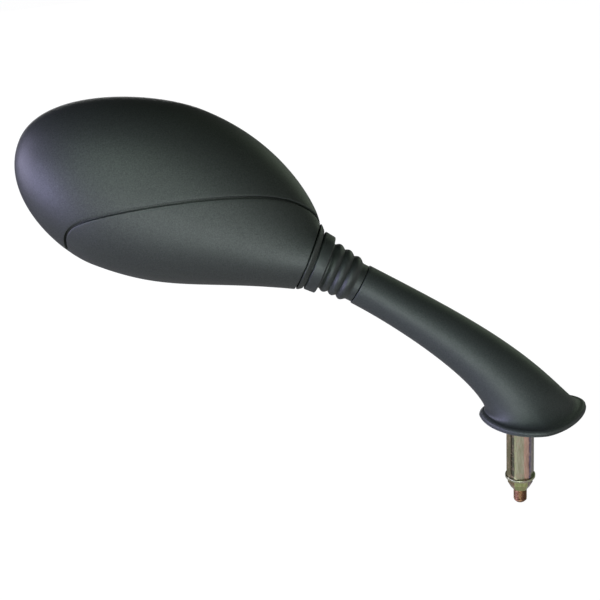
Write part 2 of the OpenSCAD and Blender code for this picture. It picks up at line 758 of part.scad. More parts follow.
module arm_skin(k, from = 0) {
    skin(concat(
        [for (i = [from : arm_steps]) arm_ring(flare_from * i / arm_steps, k)],
        [for (i = [1 : flare_steps]) flare_ring(i / flare_steps, k)],
        k > 0 ? [foot_ring(k, lip_h / 2), foot_ring(k, -over)]
              : [for (a = [30 : 30 : 90]) foot_ring(mix(lip_round, bead, sin(a)),
                    mix(lip_h, bead_h + 0.4, 1 - cos(a)))],
        k > 0 ? [] : [foot_ring(0, bead_h), foot_ring(0, 0.3), foot_ring(0.4, 0)]));
}

hollow_from = 8;
module arm_hollow() {
    intersection() {
        arm_skin(foot_wall, hollow_from);
        translate([foot_right - foot_r, foot_behind - foot_front, -over])
            cube([2 * foot_r, 2 * foot_front, hollow_h + over]);
    }
}

module foot_ribs() {
    for (a = [0 : 60 : 300])
        rotate([0, 0, a])
            translate([boss_r - 1, -1, boss_lift])
                cube([foot_r, 2, hollow_h]);
}

module arm() color([0.16, 0.17, 0.18]) foot_frame() difference() {
    union() {
        difference() {
            arm_skin(0);
            arm_hollow();
        }
        intersection() {
            arm_skin(foot_wall / 2, hollow_from);
            union() {
                translate([0, 0, boss_lift])
                    cylinder(r = boss_r, h = hollow_h);
                foot_ribs();
            }
        }
        arm_frame()
            translate([shoulder_at - spigot_len, 0, 0])
                rotate([180 / arm_sides, 0, 0])
                    rotate([0, 90, 0])
                        cylinder(r = spigot_r, h = spigot_len + 2);
    }
    translate([0, 0, -over])
        cylinder(r = thread_r + fit, h = stud_rise + over + 1);
    translate([0, 0, insert_up - fit])
        rotate([0, 0, 30])
            cylinder(r = (nut_af / 2 + fit) / cos(30), h = insert_h + 2 * fit, $fn = 6);
    arm_frame()
        translate([shoulder_at - spigot_len - over, 0, 0])
            rotate([0, 90, 0])
                cylinder(r = shank_r + fit, h = shank_reach - shoulder_at + spigot_len + over + 1);
}

stud_chamfer = 1.2;
module mounting_stud() color([0.6, 0.42, 0.3]) foot_frame() rotate_extrude()
    polygon([[0, -stud_drop], [stud_r - stud_chamfer, -stud_drop],
        [stud_r, -stud_drop + stud_chamfer], [stud_r, -nut_foot - 0.2], [thread_r, -nut_foot - 0.2],
        [thread_r, stud_rise - 1], [thread_r - 1, stud_rise], [0, stud_rise]]);

// A hexagonal bar with its ends turned off at an angle, drilled along its axis
module hex_piece(af, h, low_cut, high_cut, slope) {
    r = af / 2 / cos(30);
    difference() {
        intersection() {
            cylinder(r = r, h = h, $fn = 6);
            rotate_extrude()
                polygon([[0, 0], [r - low_cut, 0], [r + 0.2, (low_cut + 0.2) * slope],
                    [r + 0.2, h - (high_cut + 0.2) * slope], [r - high_cut, h], [0, h]]);
        }
        translate([0, 0, -over])
            cylinder(r = thread_r + fit, h = h + 2 * over);
    }
}

sleeve_turn = 7;
nut_taper = 4;
nut_tip_af = 9.2;
nut_turn = -7;
module hex_sleeve() color([0.72, 0.7, 0.5]) foot_frame()
    translate([0, 0, -sleeve_drop])
        rotate([0, 0, sleeve_turn])
            hex_piece(sleeve_af, sleeve_drop + boss_lift, 0.8, 0.8, 0.58);

module stud_washer() color([0.75, 0.73, 0.55]) foot_frame()
    translate([0, 0, -sleeve_drop - washer_t])
        difference() {
            cylinder(r = washer_d / 2, h = washer_t);
            translate([0, 0, -over])
                cylinder(r = stud_r + 0.2, h = washer_t + 2 * over);
        }

module stud_nut() color([0.7, 0.66, 0.45]) foot_frame()
    translate([0, 0, -nut_foot])
        rotate([0, 0, nut_turn])
            difference() {
                union() {
                    cylinder(r1 = nut_tip_af / 2 / cos(30), r2 = nut_af / 2 / cos(30), h = nut_taper,
                        $fn = 6);
                    translate([0, 0, nut_taper])
                        hex_piece(nut_af, nut_h - nut_taper, 0, 0.6, 0.58);
                }
                translate([0, 0, -over])
                    cylinder(r = thread_r + fit, h = nut_h + 2 * over);
            }

module stud_insert() color([0.7, 0.6, 0.3]) foot_frame()
    translate([0, 0, insert_up])
        rotate([0, 0, 30])
            hex_piece(nut_af, insert_h, 0.5, 0.5, 0.58);

arm();
mounting_stud();
stud_insert();
hex_sleeve();
stud_washer();
stud_nut();
ball_stud();
ball_seat();
neck_boot();
neck_collar();
clamp_plate();
clamp_springs();
clamp_screws();
inner_frame();
frame_screws();
cover_screws();
rear_shell();
lower_cover();
front_bezel();
mirror_glass();
glass_pad();
glass_backing();
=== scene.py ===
import json
from functools import lru_cache
from math import acos, cos, degrees, pi, radians, sin, sqrt

import bmesh
import bpy
from mathutils import Matrix, Vector
from mathutils.geometry import delaunay_2d_cdt


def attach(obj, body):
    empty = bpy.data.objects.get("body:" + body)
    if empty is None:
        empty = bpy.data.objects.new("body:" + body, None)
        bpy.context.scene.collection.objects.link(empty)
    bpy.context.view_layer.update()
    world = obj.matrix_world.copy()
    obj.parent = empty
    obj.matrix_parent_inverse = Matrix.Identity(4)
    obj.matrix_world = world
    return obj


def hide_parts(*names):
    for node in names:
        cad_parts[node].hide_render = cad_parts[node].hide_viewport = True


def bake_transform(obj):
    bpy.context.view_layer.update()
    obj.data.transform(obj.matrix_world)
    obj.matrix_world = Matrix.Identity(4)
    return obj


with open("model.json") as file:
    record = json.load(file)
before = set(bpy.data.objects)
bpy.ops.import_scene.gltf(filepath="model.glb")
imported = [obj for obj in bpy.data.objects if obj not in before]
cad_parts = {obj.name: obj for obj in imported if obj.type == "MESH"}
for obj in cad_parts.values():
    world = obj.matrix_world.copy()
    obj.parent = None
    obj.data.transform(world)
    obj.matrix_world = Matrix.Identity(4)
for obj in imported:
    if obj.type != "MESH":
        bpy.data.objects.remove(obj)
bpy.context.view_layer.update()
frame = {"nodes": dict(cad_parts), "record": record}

# All shapes are laid out in millimetres from the foot's underside or from the ball, as in the
# CAD source, and turned into the row frame, in metres, when a mesh is made.
MM = 0.001


def turn(angle, axis):
    return Matrix.Rotation(radians(angle), 4, axis)


def shift(x, y, z):
    return Matrix.Translation((x, y, z))


SLEEVE_DROP, WASHER_T, NUT_H, FREE_END = 39.6, 1.6, 8.0, 9.0
FOOT_UP = SLEEVE_DROP + WASHER_T + NUT_H
STUD_DROP = FOOT_UP + FREE_END
REST_TILT = 6.2
# FOOT starts on the stud's axis under the foot; ARM and HEAD start in the ball's centre and
# have X along the neck
FOOT = shift(0, 0, FOOT_UP)
ARM = FOOT @ shift(-112, 35.5, 90) @ turn(65, "X") @ turn(-30.8, "Z") @ turn(4.5, "Y")
HEAD = ARM @ turn(REST_TILT, "Z")


def mix(a, b, t):
    return a + (b - a) * t


def clamp01(t):
    return max(0.0, min(1.0, t))


def ease(t):
    t = clamp01(t)
    return t * t * (3 - 2 * t)


def signed_pow(v, e):
    return (1 if v >= 0 else -1) * abs(v) ** e


def bezier(a, b, c, d, t):
    return a * (1 - t) ** 3 + b * (3 * t * (1 - t) ** 2) + c * (3 * t * t * (1 - t)) + d * t**3


def curve(a, b, c, d, n):
    a, b, c, d = Vector(a), Vector(b), Vector(c), Vector(d)
    return [bezier(a, b, c, d, i / n) for i in range(n + 1)]


def circle(n):
    """n directions around an axis, in radians."""
    return [2 * pi * j / n for j in range(n)]


def quarter(n):
    """Sine and cosine at n steps through a quarter of a turn, for rounded edges."""
    return [(sin(pi / 2 * k / n), cos(pi / 2 * k / n)) for k in range(n + 1)]


def polar(r, a, z):
    return Vector((r * cos(a), r * sin(a), z))


def raised(q, z):
    """The plane point q at height z."""
    return Vector((q.x, q.y, z))


# ---- meshes ----

# Points closer than this are merged, and faces thinner than this go, in metres
WELD, SLIVER = 2e-6, 1e-7


def make(name, verts, faces, place, angle=40.0):
    """A mesh object from points in millimetres, shaded smooth except over sharp edges."""
    mesh = bpy.data.meshes.new(name)
    mesh.from_pydata([tuple((place @ Vector(v)) * MM) for v in verts], [], faces)
    mesh.validate()
    obj = bpy.data.objects.new(name, mesh)
    bpy.context.scene.collection.objects.link(obj)
    weld(obj)
    mesh.shade_smooth()
    mesh.set_sharp_from_angle(angle=radians(angle))
    return obj


def weld(obj):
    """Merges double points, drops slivers and turns the faces outwards."""
    bm = bmesh.new()
    bm.from_mesh(obj.data)
    bmesh.ops.remove_doubles(bm, verts=bm.verts, dist=WELD)
    bmesh.ops.dissolve_degenerate(bm, dist=SLIVER, edges=bm.edges)
    bmesh.ops.recalc_face_normals(bm, faces=bm.faces)
    bm.to_mesh(obj.data)
    bm.free()


def join_parts(parts):
    """Vertices and faces of several pieces of mesh, one after the other."""
    verts, faces = [], []
    for v, f in parts:
        base = len(verts)
        verts += v
        faces += [tuple(base + i for i in face) for face in f]
    return verts, faces


def strip(lines, closed=False):
    """Quads between lines of equally many points."""
    n, verts, faces = len(lines[0]), [], []
    for line in lines:
        verts += list(line)
    for r in range(len(lines) - 1):
        for i in range(n if closed else n - 1):
            j = (i + 1) % n
            faces.append((r * n + i, r * n + j, (r + 1) * n + j, (r + 1) * n + i))
    return verts, faces


def rounded(profile, radius, steps=4):
    """The profile with its corners rounded, as far as the neighbouring sides allow."""
    pts = [Vector(p) for p in profile]
    out = [pts[0]]
    for i in range(1, len(pts) - 1):
        a, b, c = pts[i - 1], pts[i], pts[i + 1]
        r = min(radius, (a - b).length * 0.45, (c - b).length * 0.45)
        p, q = b + (a - b).normalized() * r, b + (c - b).normalized() * r
        out += [bezier(p, mix(p, b, 0.6), mix(q, b, 0.6), q, k / steps) for k in range(steps + 1)]
    return out + [pts[-1]]


# ---- the housing's form ----

# X runs from the housing's tip to the arm, Y up and Z out of the housing's back
MOUTH, HEAD_LEN = -8.8, 180.3
TIP = MOUTH - HEAD_LEN
TIP_RISE, TIP_HANDLE, TIP_ROUND = 3.4, 33.5, 0.16
NECK_R, NECK_RISE, BACK_DEPTH, RIM, BEZEL, GAP = 19.5, 2.8, 25.0, 12.0, 12.0, 0.3
# The outline's highest and lowest points, each with its two handles, and its slopes at the mouth
RISE, RISE_IN, RISE_ON = Vector((MOUTH - 87.6, 59.4)), Vector((31, 0)), Vector((51.7, 0))
DROP, DROP_IN, DROP_ON = Vector((MOUTH - 114.6, -48.5)), Vector((23.5, 0)), Vector((46.8, 0))
SLOPE_UP = Vector((-1, 1.5)).normalized() * 12
SLOPE_DOWN = Vector((-1, -0.28)).normalized() * 56
# How square the section is behind and in front of the parting line, how full the back is, and
# the stretch of t in which the section turns into the round neck
REAR_SQUARE, FRONT_SQUARE, BACK_CURVE, NECK_RUN = 2.2, 6.0, 2.4, 0.65
DISH, GLASS_R = Vector((MOUTH - 98, 5)), 1400.0
GLASS_FRONT = -RIM - BEZEL + 3.2
# Around the section, the rear runs from 0 to 180 degrees and the front from here to 360
FRONT_START = 180.001
HALVINGS = 34


def outline_side(far, back, on, mouth, slope, side, t):
    """The outline from the tip over its far point to the mouth, on side 1 or -1."""
    tip = Vector((TIP, TIP_RISE))
    if t < 1:
        return bezier(tip, tip + Vector((0, side * TIP_HANDLE)), far - back, far, t)
    return bezier(far, far + on, mouth + slope, mouth, t - 1)


@lru_cache(maxsize=None)
def upper_rail(t):
    mouth = Vector((MOUTH, NECK_R + NECK_RISE))
    return outline_side(RISE, RISE_IN, RISE_ON, mouth, SLOPE_UP, 1, t)


@lru_cache(maxsize=None)
def lower_rail(t):
    return outline_side(DROP, DROP_IN, DROP_ON, Vector((MOUTH, -NECK_R)), SLOPE_DOWN, -1, t)


def towards_neck(t):
    return ease((t - 2 + NECK_RUN) / NECK_RUN)


def part_z(t):
    return mix(-RIM, 0, towards_neck(t))


def sag(q):
    """How far the glass curves back at the plane point q."""
    return GLASS_R - sqrt(GLASS_R**2 - (q - DISH).length_squared)


def glass_z(q):
    return GLASS_FRONT + sag(q)


def back_z(t):
    if t < 1:
        return -RIM + (BACK_DEPTH + RIM) * (1 - (1 - t) ** BACK_CURVE)
    return mix(BACK_DEPTH, NECK_R, ease(t - 1))


def front_z(t):
    close = sqrt(1 - (1 - t / TIP_ROUND) ** 2) if t < TIP_ROUND else 1
    full = mix(-RIM - BEZEL + sag(lower_rail(t)), -NECK_R, towards_neck(t))
    return part_z(t) + close * (full - part_z(t))


def square(t, rear):
    return 2 / mix(REAR_SQUARE if rear else FRONT_SQUARE, 2, towards_neck(t))


def head_point(t, a):
    """Point of the housing's skin: t runs from the tip to the mouth, a around the section."""
    u, l = upper_rail(t), lower_rail(t)
    rear = a <= 180
    e = square(t, rear)
    q = (u + l) / 2 + (u - l) / 2 * signed_pow(cos(radians(a)), e)
    out = abs(sin(radians(a))) ** e
    if rear:
        return raised(q, part_z(t) + (back_z(t) - part_z(t)) * out)
    return raised(q, part_z(t) - GAP - (part_z(t) - GAP - front_z(t)) * out)


def head_normal(t, a):
    """The skin's outward normal, from its points a step away."""
    dt, da = 2e-3, 0.4
    t = min(max(t, dt * 1.01), 2 - dt)
    lo, hi = (0, 180) if a <= 180 else (FRONT_START, 360)
    a = min(max(a, lo + da), hi - da)
    along = head_point(t + dt, a) - head_point(t - dt, a)
    around = head_point(t, a + da) - head_point(t, a - da)
    n = around.cross(along).normalized()
    mid = (upper_rail(t) + lower_rail(t)) / 2
    out = head_point(t, a) - raised(mid, part_z(t))
    return n if n.dot(out) > 0 else -n


def head_param(q, rear):
    """(t, a) of the skin's point over or under the plane point q, or None outside the outline."""
    lo, hi = 1e-4, 2.0
    for _ in range(HALVINGS):
        t = (lo + hi) / 2
        u, l = upper_rail(t), lower_rail(t)
        if (u.x - l.x) * (q.y - l.y) - (u.y - l.y) * (q.x - l.x) < 0:
            lo = t
        else:
            hi = t
    t = (lo + hi) / 2
    u, l = upper_rail(t), lower_rail(t)
    c, r = (u + l) / 2, (u - l) / 2
    s = (q - c).dot(r) / r.dot(r)
    if abs(s) > 1 or t > 1.9999:
        return None
    a = degrees(acos(max(-1, min(1, signed_pow(s, 1 / square(t, rear))))))
    return (t, a) if rear else (t, 360 - a)


def offset_line(line, d, closed=False):
    """The plane line moved to its left by d."""
    n, out = len(line), []
    for i, p in enumerate(line):
        a = line[(i - 1) % n] if closed or i > 0 else p
        b = line[(i + 1) % n] if closed or i < n - 1 else p
        along = (b - a).normalized()
        out.append(p + Vector((-along.y, along.x)) * d)
    return out


def resample(line, n, closed=False):
    """n evenly spaced points on the line."""
    pts = line + [line[0]] if closed else line
    dist = [0.0]
    for a, b in zip(pts, pts[1:]):
        dist.append(dist[-1] + (b - a).length)
    out, k = [], 0
    count = n if closed else n - 1
    for i in range(n):
        want = dist[-1] * i / count
        while k < len(pts) - 2 and dist[k + 1] < want:
            k += 1
        out.append(pts[k].lerp(pts[k + 1], (want - dist[k]) / max(1e-9, dist[k + 1] - dist[k])))
    return out


def clip_to_outline(line, rear):
    """The stretch of the line that lies inside the housing's outline, up to its edge."""
    inside = [head_param(p, rear) is not None for p in line]
    first, last = inside.index(True), len(inside) - 1 - inside[::-1].index(True)

    def edge(out, in_):
        for _ in range(HALVINGS):
            m = (out + in_) / 2
            if head_param(m, rear) is None:
                out = m
            else:
                in_ = m
        return in_

    start = [edge(line[first - 1], line[first])] if first else []
    end = [edge(line[last + 1], line[last])] if last < len(line) - 1 else []
    return start + line[first : last + 1] + end


def in_polygon(q, poly):
    hit, j = False, len(poly) - 1
    for i, p in enumerate(poly):
        o = poly[j]
        if (p.y > q.y) != (o.y > q.y) and q.x < (o.x - p.x) * (q.y - p.y) / (o.y - p.y) + p.x:
            hit = not hit
        j = i
    return hit


# About how many millimetres a unit of t and a degree of a are, the side of the cells in which
# a line's points are looked up, and the clearing kept on both sides of the line
T_MM, A_MM, CELL, CLEARING = 90.0, 0.8, 4, 0.8


def patch(ts, angles, line, closed, keep):
    """The skin's triangles on one side of a line in it. line is a list of (t, a)."""
    cells = {}
    for t, a in line:
        p = head_point(t, a)
        cells.setdefault((int(p.x // CELL), int(p.y // CELL)), []).append(p)

    def near(q):
        i, j = int(q.x // CELL), int(q.y // CELL)
        around = (cells.get((i + di, j + dj), ()) for di in (-1, 0, 1) for dj in (-1, 0, 1))
        return any((q - p).length < CLEARING for group in around for p in group)

    coords, edges, index = [], [], {}
    for i, t in enumerate(ts):
        for j, a in enumerate(angles):
            border = i in (0, len(ts) - 1) or j in (0, len(angles) - 1)
            if border or not near(head_point(t, a)):
                index[i, j] = len(coords)
                coords.append(Vector((t * T_MM, a * A_MM)))
    rim = [(i, 0) for i in range(len(ts))] + [(len(ts) - 1, j) for j in range(1, len(angles))]
    rim += [(i, len(angles) - 1) for i in range(len(ts) - 2, -1, -1)]
    rim += [(0, j) for j in range(len(angles) - 2, 0, -1)]
    edges += [(index[rim[k]], index[rim[(k + 1) % len(rim)]]) for k in range(len(rim))]
    base = len(coords)
    coords += [Vector((t * T_MM, a * A_MM)) for t, a in line]
    edges += [(base + k, base + k + 1) for k in range(len(line) - 1)]
    if closed:
        edges.append((base + len(line) - 1, base))
    flat, _, tris, *_ = delaunay_2d_cdt(coords, edges, [], 0, 1e-5, False)
    params = [(p.x / T_MM, p.y / A_MM) for p in flat]
    low, high = angles[0], angles[-1]
    lift = [head_point(min(2.0, max(ts[0], t)), min(high, max(low, a))) for t, a in params]
    kept = []
    for tri in tris:
        t = sum(params[i][0] for i in tri) / 3
        a = sum(params[i][1] for i in tri) / 3
        p = head_point(t, min(high, max(low, a)))
        if keep(Vector((p.x, p.y))):
            kept.append(tuple(tri))
    return lift, kept


def sunk(line, drop, rear=True):
    """Points of the skin over a plane line, sunk by drop along the skin's normal."""
    params = [head_param(q, rear) for q in line]
    last = next(p for p in params if p)
    out = []
    for p in params:
        last = p or last
        out.append(head_point(*last) - head_normal(*last) * drop)
    return out


T_FIRST, T_COUNT, T_CROWD = 0.004, 96, 1.35
T_STEPS = [T_FIRST + (2 - T_FIRST) * (i / T_COUNT) ** T_CROWD for i in range(T_COUNT + 1)]
BACK_ANGLES = [180 * i / 72 for i in range(73)]
# Even steps, with more of them at the front's two corners
FRONT_ANGLES = sorted(
    {FRONT_START + (360 - FRONT_START) * i / 40 for i in range(41)}
    | {360 - degrees(acos(cos(pi * i / 40) ** 3)) for i in range(1, 40)}
)

NOSE = Vector((MOUTH - 134.2, -38.2))
CREST = Vector((MOUTH - 17.1, 27.25))
NOSE_TOP = NOSE + Vector((14.4, 16.8))
# The groove's half width and depth, and the number of points along it
SEAM_HALF, SEAM_DEPTH, SEAM_N = 0.7, 2.1, 260
# The radii of its two edges, and how far the shell's ledge reaches under the cover
SHELL_EDGE, COVER_EDGE, UNDER_COVER = 0.28, 0.5, 0.5
# How far the seam runs on past the rim, a height below the housing, and the rim's flange
RUN_OUT, FAR_DOWN, FLANGE = 6.0, -90.0, 2.4


def seam_line():
    """The lower cover's outline, from under its nose over the crest to the neck's mouth."""
    mouth = Vector((MOUTH + 2, CREST.y - 6))
    pieces = [
        curve(NOSE + Vector((9, -14)), NOSE + Vector((3, -9)), NOSE - Vector((0, 4)), NOSE, 40),
        curve(NOSE, NOSE + Vector((0, 6)), NOSE_TOP - Vector((8.4, 5.8)), NOSE_TOP, 40),
        curve(NOSE_TOP, NOSE_TOP + Vector((25.9, 18.1)), CREST - Vector((23, 0)), CREST, 120),
        curve(CREST, CREST + Vector((11.5, 0)), mouth + Vector((-4, 3)), mouth, 40),
    ]
    line = []
    for piece in pieces:
        line += piece if not line else piece[1:]
    return line


def seam_offset(d):
    """The seam moved outwards by d, from the cover's nose side to the mouth, cut at the rim."""
    line = seam_line()
    start = line[0] + (line[0] - line[1]).normalized() * RUN_OUT
    return resample(clip_to_outline(offset_line([start] + line, d), True), SEAM_N)


def below_seam(line):
    """The line and the area under it, as a polygon."""
    right = MOUTH + 5
    corners = [(right, line[-1].y), (right, FAR_DOWN), (line[0].x, FAR_DOWN)]
    return line + [Vector(c) for c in corners]


def tip_fan(angles):
    """Closes the small hole at the tip."""
    ring = [head_point(T_STEPS[0], a) for a in angles]
    z = part_z(0) - (0 if angles[-1] <= 180 else GAP)
    faces = [(i, i + 1, len(ring)) for i in range(len(ring) - 1)]
    return ring + [Vector((TIP, TIP_RISE, z))], faces


def rim_flange(rise):
    """A narrow face along the parting line, turned inwards."""
    heights = [part_z(t) + rise for t in T_STEPS]
    parts = []
    for rail, side in ((upper_rail, -1), (lower_rail, 1)):
        line = [rail(t) for t in T_STEPS]
        inner = offset_line(line, side * FLANGE)
        parts.append(strip([[raised(p, z) for p, z in zip(l, heights)] for l in (line, inner)]))
    return join_parts(parts)


def seam_edge(side, radius):
    """Rounded edge and wall of the shell (side 1) or the cover (side -1) at the groove."""
    half = side * SEAM_HALF
    lines = [(half + side * radius * (1 - s), radius * (1 - c)) for s, c in quarter(4)]
    lines += [(half, mix(radius, SEAM_DEPTH, 0.5)), (half, SEAM_DEPTH)]
    return [sunk(seam_offset(width), drop) for width, drop in lines]


def back_skin(side, radius):
    """The rear skin on one side of the groove, as far as the edge starts to round."""
    line = seam_offset(side * (SEAM_HALF + radius))
    below = below_seam(line)
    params = [head_param(q, True) for q in line]
    return patch(
        T_STEPS, BACK_ANGLES, params, False, lambda q: in_polygon(q, below) == (side < 0)
    )


def mouth_ledge():
    """The shell's ledge under the cover's corner, which closes the groove's end at the mouth."""
    rows = []
    for t in (1.88, 1.91, 1.94, 1.97, 1.9995):
        angles = [3 * i for i in range(31)]
        rows.append([head_point(t, a) - head_normal(t, a) * (SEAM_DEPTH + 0.02) for a in angles])
    end = [p + Vector((0, -2.5, -1.0)) for p in rows[-1]]
    rim = [row[0] - Vector((0, 0, 2.2)) for row in rows]
    return join_parts([strip(rows + [end]), strip([[row[0] for row in rows], rim])])


def shell_mesh():
    edge = seam_edge(1, SHELL_EDGE)
    groove = [edge[-1], sunk(seam_offset(-SEAM_HALF - UNDER_COVER), SEAM_DEPTH)]
    return join_parts(
        [
            back_skin(1, SHELL_EDGE), strip(edge), strip(groove), mouth_ledge(),
            tip_fan(BACK_ANGLES), rim_flange(0),
        ]
    )


def cover_mesh():
    return join_parts([back_skin(-1, COVER_EDGE), strip(seam_edge(-1, COVER_EDGE))])


# How far the front frame's window and the glass behind it stay inside the outline, and how
# far from the mouth they end
WINDOW, WINDOW_END, GLASS, GLASS_END = 6.5, 24.5, 5.2, 23.2
WINDOW_EDGE, GLASS_STEP = 0.6, 3.0


def inner_outline(k, end):
    """The housing's outline moved in by k and closed by a round end in front of the neck."""
    e, u, l = Vector((MOUTH - end, 4)), RISE - Vector((0, k)), DROP + Vector((0, k))
    tip, up = Vector((TIP + k, TIP_RISE)), Vector((0, 1))
    pieces = [
        curve(tip, tip + up * TIP_HANDLE, u - RISE_IN, u, 60),
        curve(u, u + RISE_ON, e + up * 18, e, 70),
        curve(e, e - up * 16, l + DROP_ON, l, 70),
        curve(l, l - DROP_IN, tip - up * TIP_HANDLE, tip, 60),
    ]
    return [q for piece in pieces for q in piece[:-1]]


def bezel_mesh():
    window = resample(inner_outline(WINDOW, WINDOW_END), 300, closed=True)
    outer = offset_line(window, WINDOW_EDGE, closed=True)
    params = [head_param(q, False) for q in outer]
    skin = patch(T_STEPS, FRONT_ANGLES, params, True, lambda q: not in_polygon(q, outer))
    lines = []
    for s, c in quarter(4):
        line = sunk(offset_line(window, WINDOW_EDGE * (1 - s), closed=True), 0, False)
        lines.append([p + Vector((0, 0, WINDOW_EDGE * (1 - c))) for p in line])
    wall = [raised(q, glass_z(q) - 0.02) for q in window]
    return join_parts(
        [skin, strip(lines + [wall], closed=True), tip_fan(FRONT_ANGLES), rim_flange(-GAP)]
    )


def glass_mesh():
    rim = resample(inner_outline(GLASS, GLASS_END), 260, closed=True)
    coords = list(rim)
    edges = [(i, (i + 1) % len(rim)) for i in range(len(rim))]
    for i in range(-34, 35):
        for j in range(-22, 23):
            q = DISH + Vector((i * GLASS_STEP, j * GLASS_STEP))
            if in_polygon(q, rim) and min((q - r).length for r in rim) > GLASS_STEP * 0.5:
                coords.append(q)
    flat, _, tris, *_ = delaunay_2d_cdt(coords, edges, [], 1, 1e-5, False)
    return [raised(q, glass_z(q)) for q in flat], [tuple(t) for t in tris]


def glass_piece():
    """The glass, with the normals of its sphere, so that its reflections are smooth."""
    obj = make("convex_glass", *glass_mesh(), HEAD)
    centre = HEAD @ Vector((DISH.x, DISH.y, GLASS_FRONT + GLASS_R)) * MM
    normals = [(v.co - centre).normalized() for v in obj.data.vertices]
    obj.data.normals_split_custom_set_from_vertices(normals)
    return obj


# ---- collar and bellows ----

BAND_R, BAND_RISE, BAND_START, BAND_END = 17.4, 1.2, -3.7, 3.0
FOLD_R, LAST_FOLD_R, PITCH, FOLD_DEPTH, FOLDS = 14.9, 13.8, 5.8, 1.5, 3
TAIL_R, CUFF_R, SHOULDER, NECK_GAP = 15.9, 11.6, 26.4, 0.9
COLLAR_REAR, COLLAR_FRONT = MOUTH + NECK_GAP, BAND_START - NECK_GAP
FIRST_FOLD = BAND_END + PITCH * 0.75
FOLDS_END = FIRST_FOLD + (FOLDS - 0.5) * PITCH
CUFF_END, CUFF_BORE = SHOULDER - GAP, 9.4
VALLEYS = [FIRST_FOLD + PITCH / 2, FIRST_FOLD + PITCH * 1.5]
COLLAR_BORE, COLLAR_STEP, COLLAR_INSIDE = 14.6, 16.6, 6.0
ROUND_SIDES = 96


def boot_bend(x):
    """How far the bellows' axis has turned at x, in degrees, when the mirror is at rest."""
    return -REST_TILT * ease((x - BAND_END) / (FOLDS_END - BAND_END))


def band_lift(x, r, c):
    """The band stands higher at its top, next to the collar; c is the cosine around the neck."""
    if not BAND_START <= x <= BAND_END or r <= TAIL_R:
        return 0.0
    return BAND_RISE * max(0.0, c) * (BAND_END - x) / (BAND_END - BAND_START)


def fold_height(x):
    """Round ridges with sharp valleys between them."""
    line = mix(FOLD_R, LAST_FOLD_R, (x - FIRST_FOLD) / (PITCH * (FOLDS - 1)))
    return line - FOLD_DEPTH * (1 - abs(cos(pi * (x - FIRST_FOLD) / PITCH)))


def collar_mesh():
    """From an oval rear against the housing to a nearly round front against the band."""
    rear, front, inside = COLLAR_REAR, COLLAR_FRONT, COLLAR_REAR - COLLAR_INSIDE
    back_r, bore = NECK_R - 0.6, TAIL_R + 0.1
    profile = [
        (inside, COLLAR_BORE), (inside, COLLAR_STEP), (rear, COLLAR_STEP), (rear, back_r),
        (rear + 1, back_r), (front, BAND_R), (front, bore), (rear, bore),
    ]
    rings = []
    for x, r in rounded(profile, 0.45):
        share = clamp01((r - COLLAR_STEP) / 0.8)
        rise = share * mix(NECK_RISE, BAND_RISE, clamp01((x - rear) / (front - rear))) / 2
        turns = circle(ROUND_SIDES)
        rings.append([Vector((x, rise + (r + rise) * cos(a), r * sin(a))) for a in turns])
    return strip(rings, closed=True)


def boot_profile():
    """Distance along X and radius: band, folds and cuff."""
    start = FIRST_FOLD - PITCH / 2
    band = [
        (COLLAR_REAR + 0.2, TAIL_R), (BAND_START, TAIL_R), (BAND_START, BAND_R),
        (BAND_END, BAND_R), (BAND_END + 0.3, fold_height(start)), (start, fold_height(start)),
    ]
    steps = FOLDS * 20
    along = [mix(start, FOLDS_END, i / steps) for i in range(steps + 1)]
    folds = [Vector((x, fold_height(x))) for x in along]
    cuff = [
        (FOLDS_END, fold_height(FOLDS_END)), (FOLDS_END + 0.8, CUFF_R), (CUFF_END, CUFF_R),
        (CUFF_END, CUFF_BORE),
    ]
    return rounded(band, 0.7, 5)[:-1] + folds + rounded(cuff, 0.5)[1:]


def boot_rings(profile):
    """The mesh of a stretch of the profile, around the bellows' bent axis."""
    rings = []
    for x, r in profile:
        bend = turn(boot_bend(x), "Z")
        turns = circle(ROUND_SIDES)
        ring = [Vector((x, r * cos(a) + band_lift(x, r, cos(a)), r * sin(a))) for a in turns]
        rings.append([bend @ p for p in ring])
    return strip(rings, closed=True)


def boot_parts():
    """The bellows in three rings, parted in the valleys between the folds."""
    profile, cuts, near = boot_profile(), [-99, *VALLEYS, 99], 1e-3
    return [
        boot_rings([p for p in profile if low - near <= p.x <= high + near])
        for low, high in zip(cuts, cuts[1:])
    ]


# ---- arm ----

# In the foot's own axes Z is the stud's axis, and the ball lies towards -X
SHOULDER_R, SPIGOT_R, MID_DEPTH, END_DEPTH, WALL = 12.3, 9.2, 27.0, 17.0, 3.2
FOOT_R, FOOT_FRONT, FOOT_BACK, FOOT_TURN, FOOT_POINT = 32.0, 31.9, 16.5, 5.2, 1.27
FOOT_MID = Vector((8.1, 4.9, 0))
LIP_H, LIP_ROUND, BEAD, BEAD_H = 3.3, 2.6, 0.25, 0.9
# Inset and height of the last rings, around the foot's edge and into its hollow
FOOT_EDGE = (
    (0.3, BEAD_H + 0.15), (0.08, BEAD_H - 0.1), (0.0, 0.6), (0.1, 0.22), (0.4, 0),
    (WALL - 0.4, 0), (WALL, 0.4),
)
FLARE_FROM, FLARE_DOWN, FLARE_OUT = 0.86, 0.65, 0.16
BOSS_R, BOSS_LIFT, HOLLOW_H, BORE_R = 11.0, 2.0, 26.0, 3.7
# Where the boss and the ribs end, how far they reach into the wall, and the ribs' sizes
RIB_TOP, RIB_SINK, RIB_THIN, RIB_THICK, RIB_EDGE = HOLLOW_H - 4.0, 0.2, 0.85, 1.1, 0.25
OUTER_END = Vector((FOOT_MID.x + 21, 1.5, 9.6))
INNER_END = Vector((FOOT_MID.x - 29.3, 1.5, 6.9))
FROM_BALL = FOOT.inverted() @ ARM
ARM_SIDES = 128


def from_arm(x, y, z=0.0):
    return FROM_BALL @ Vector((x, y, z))


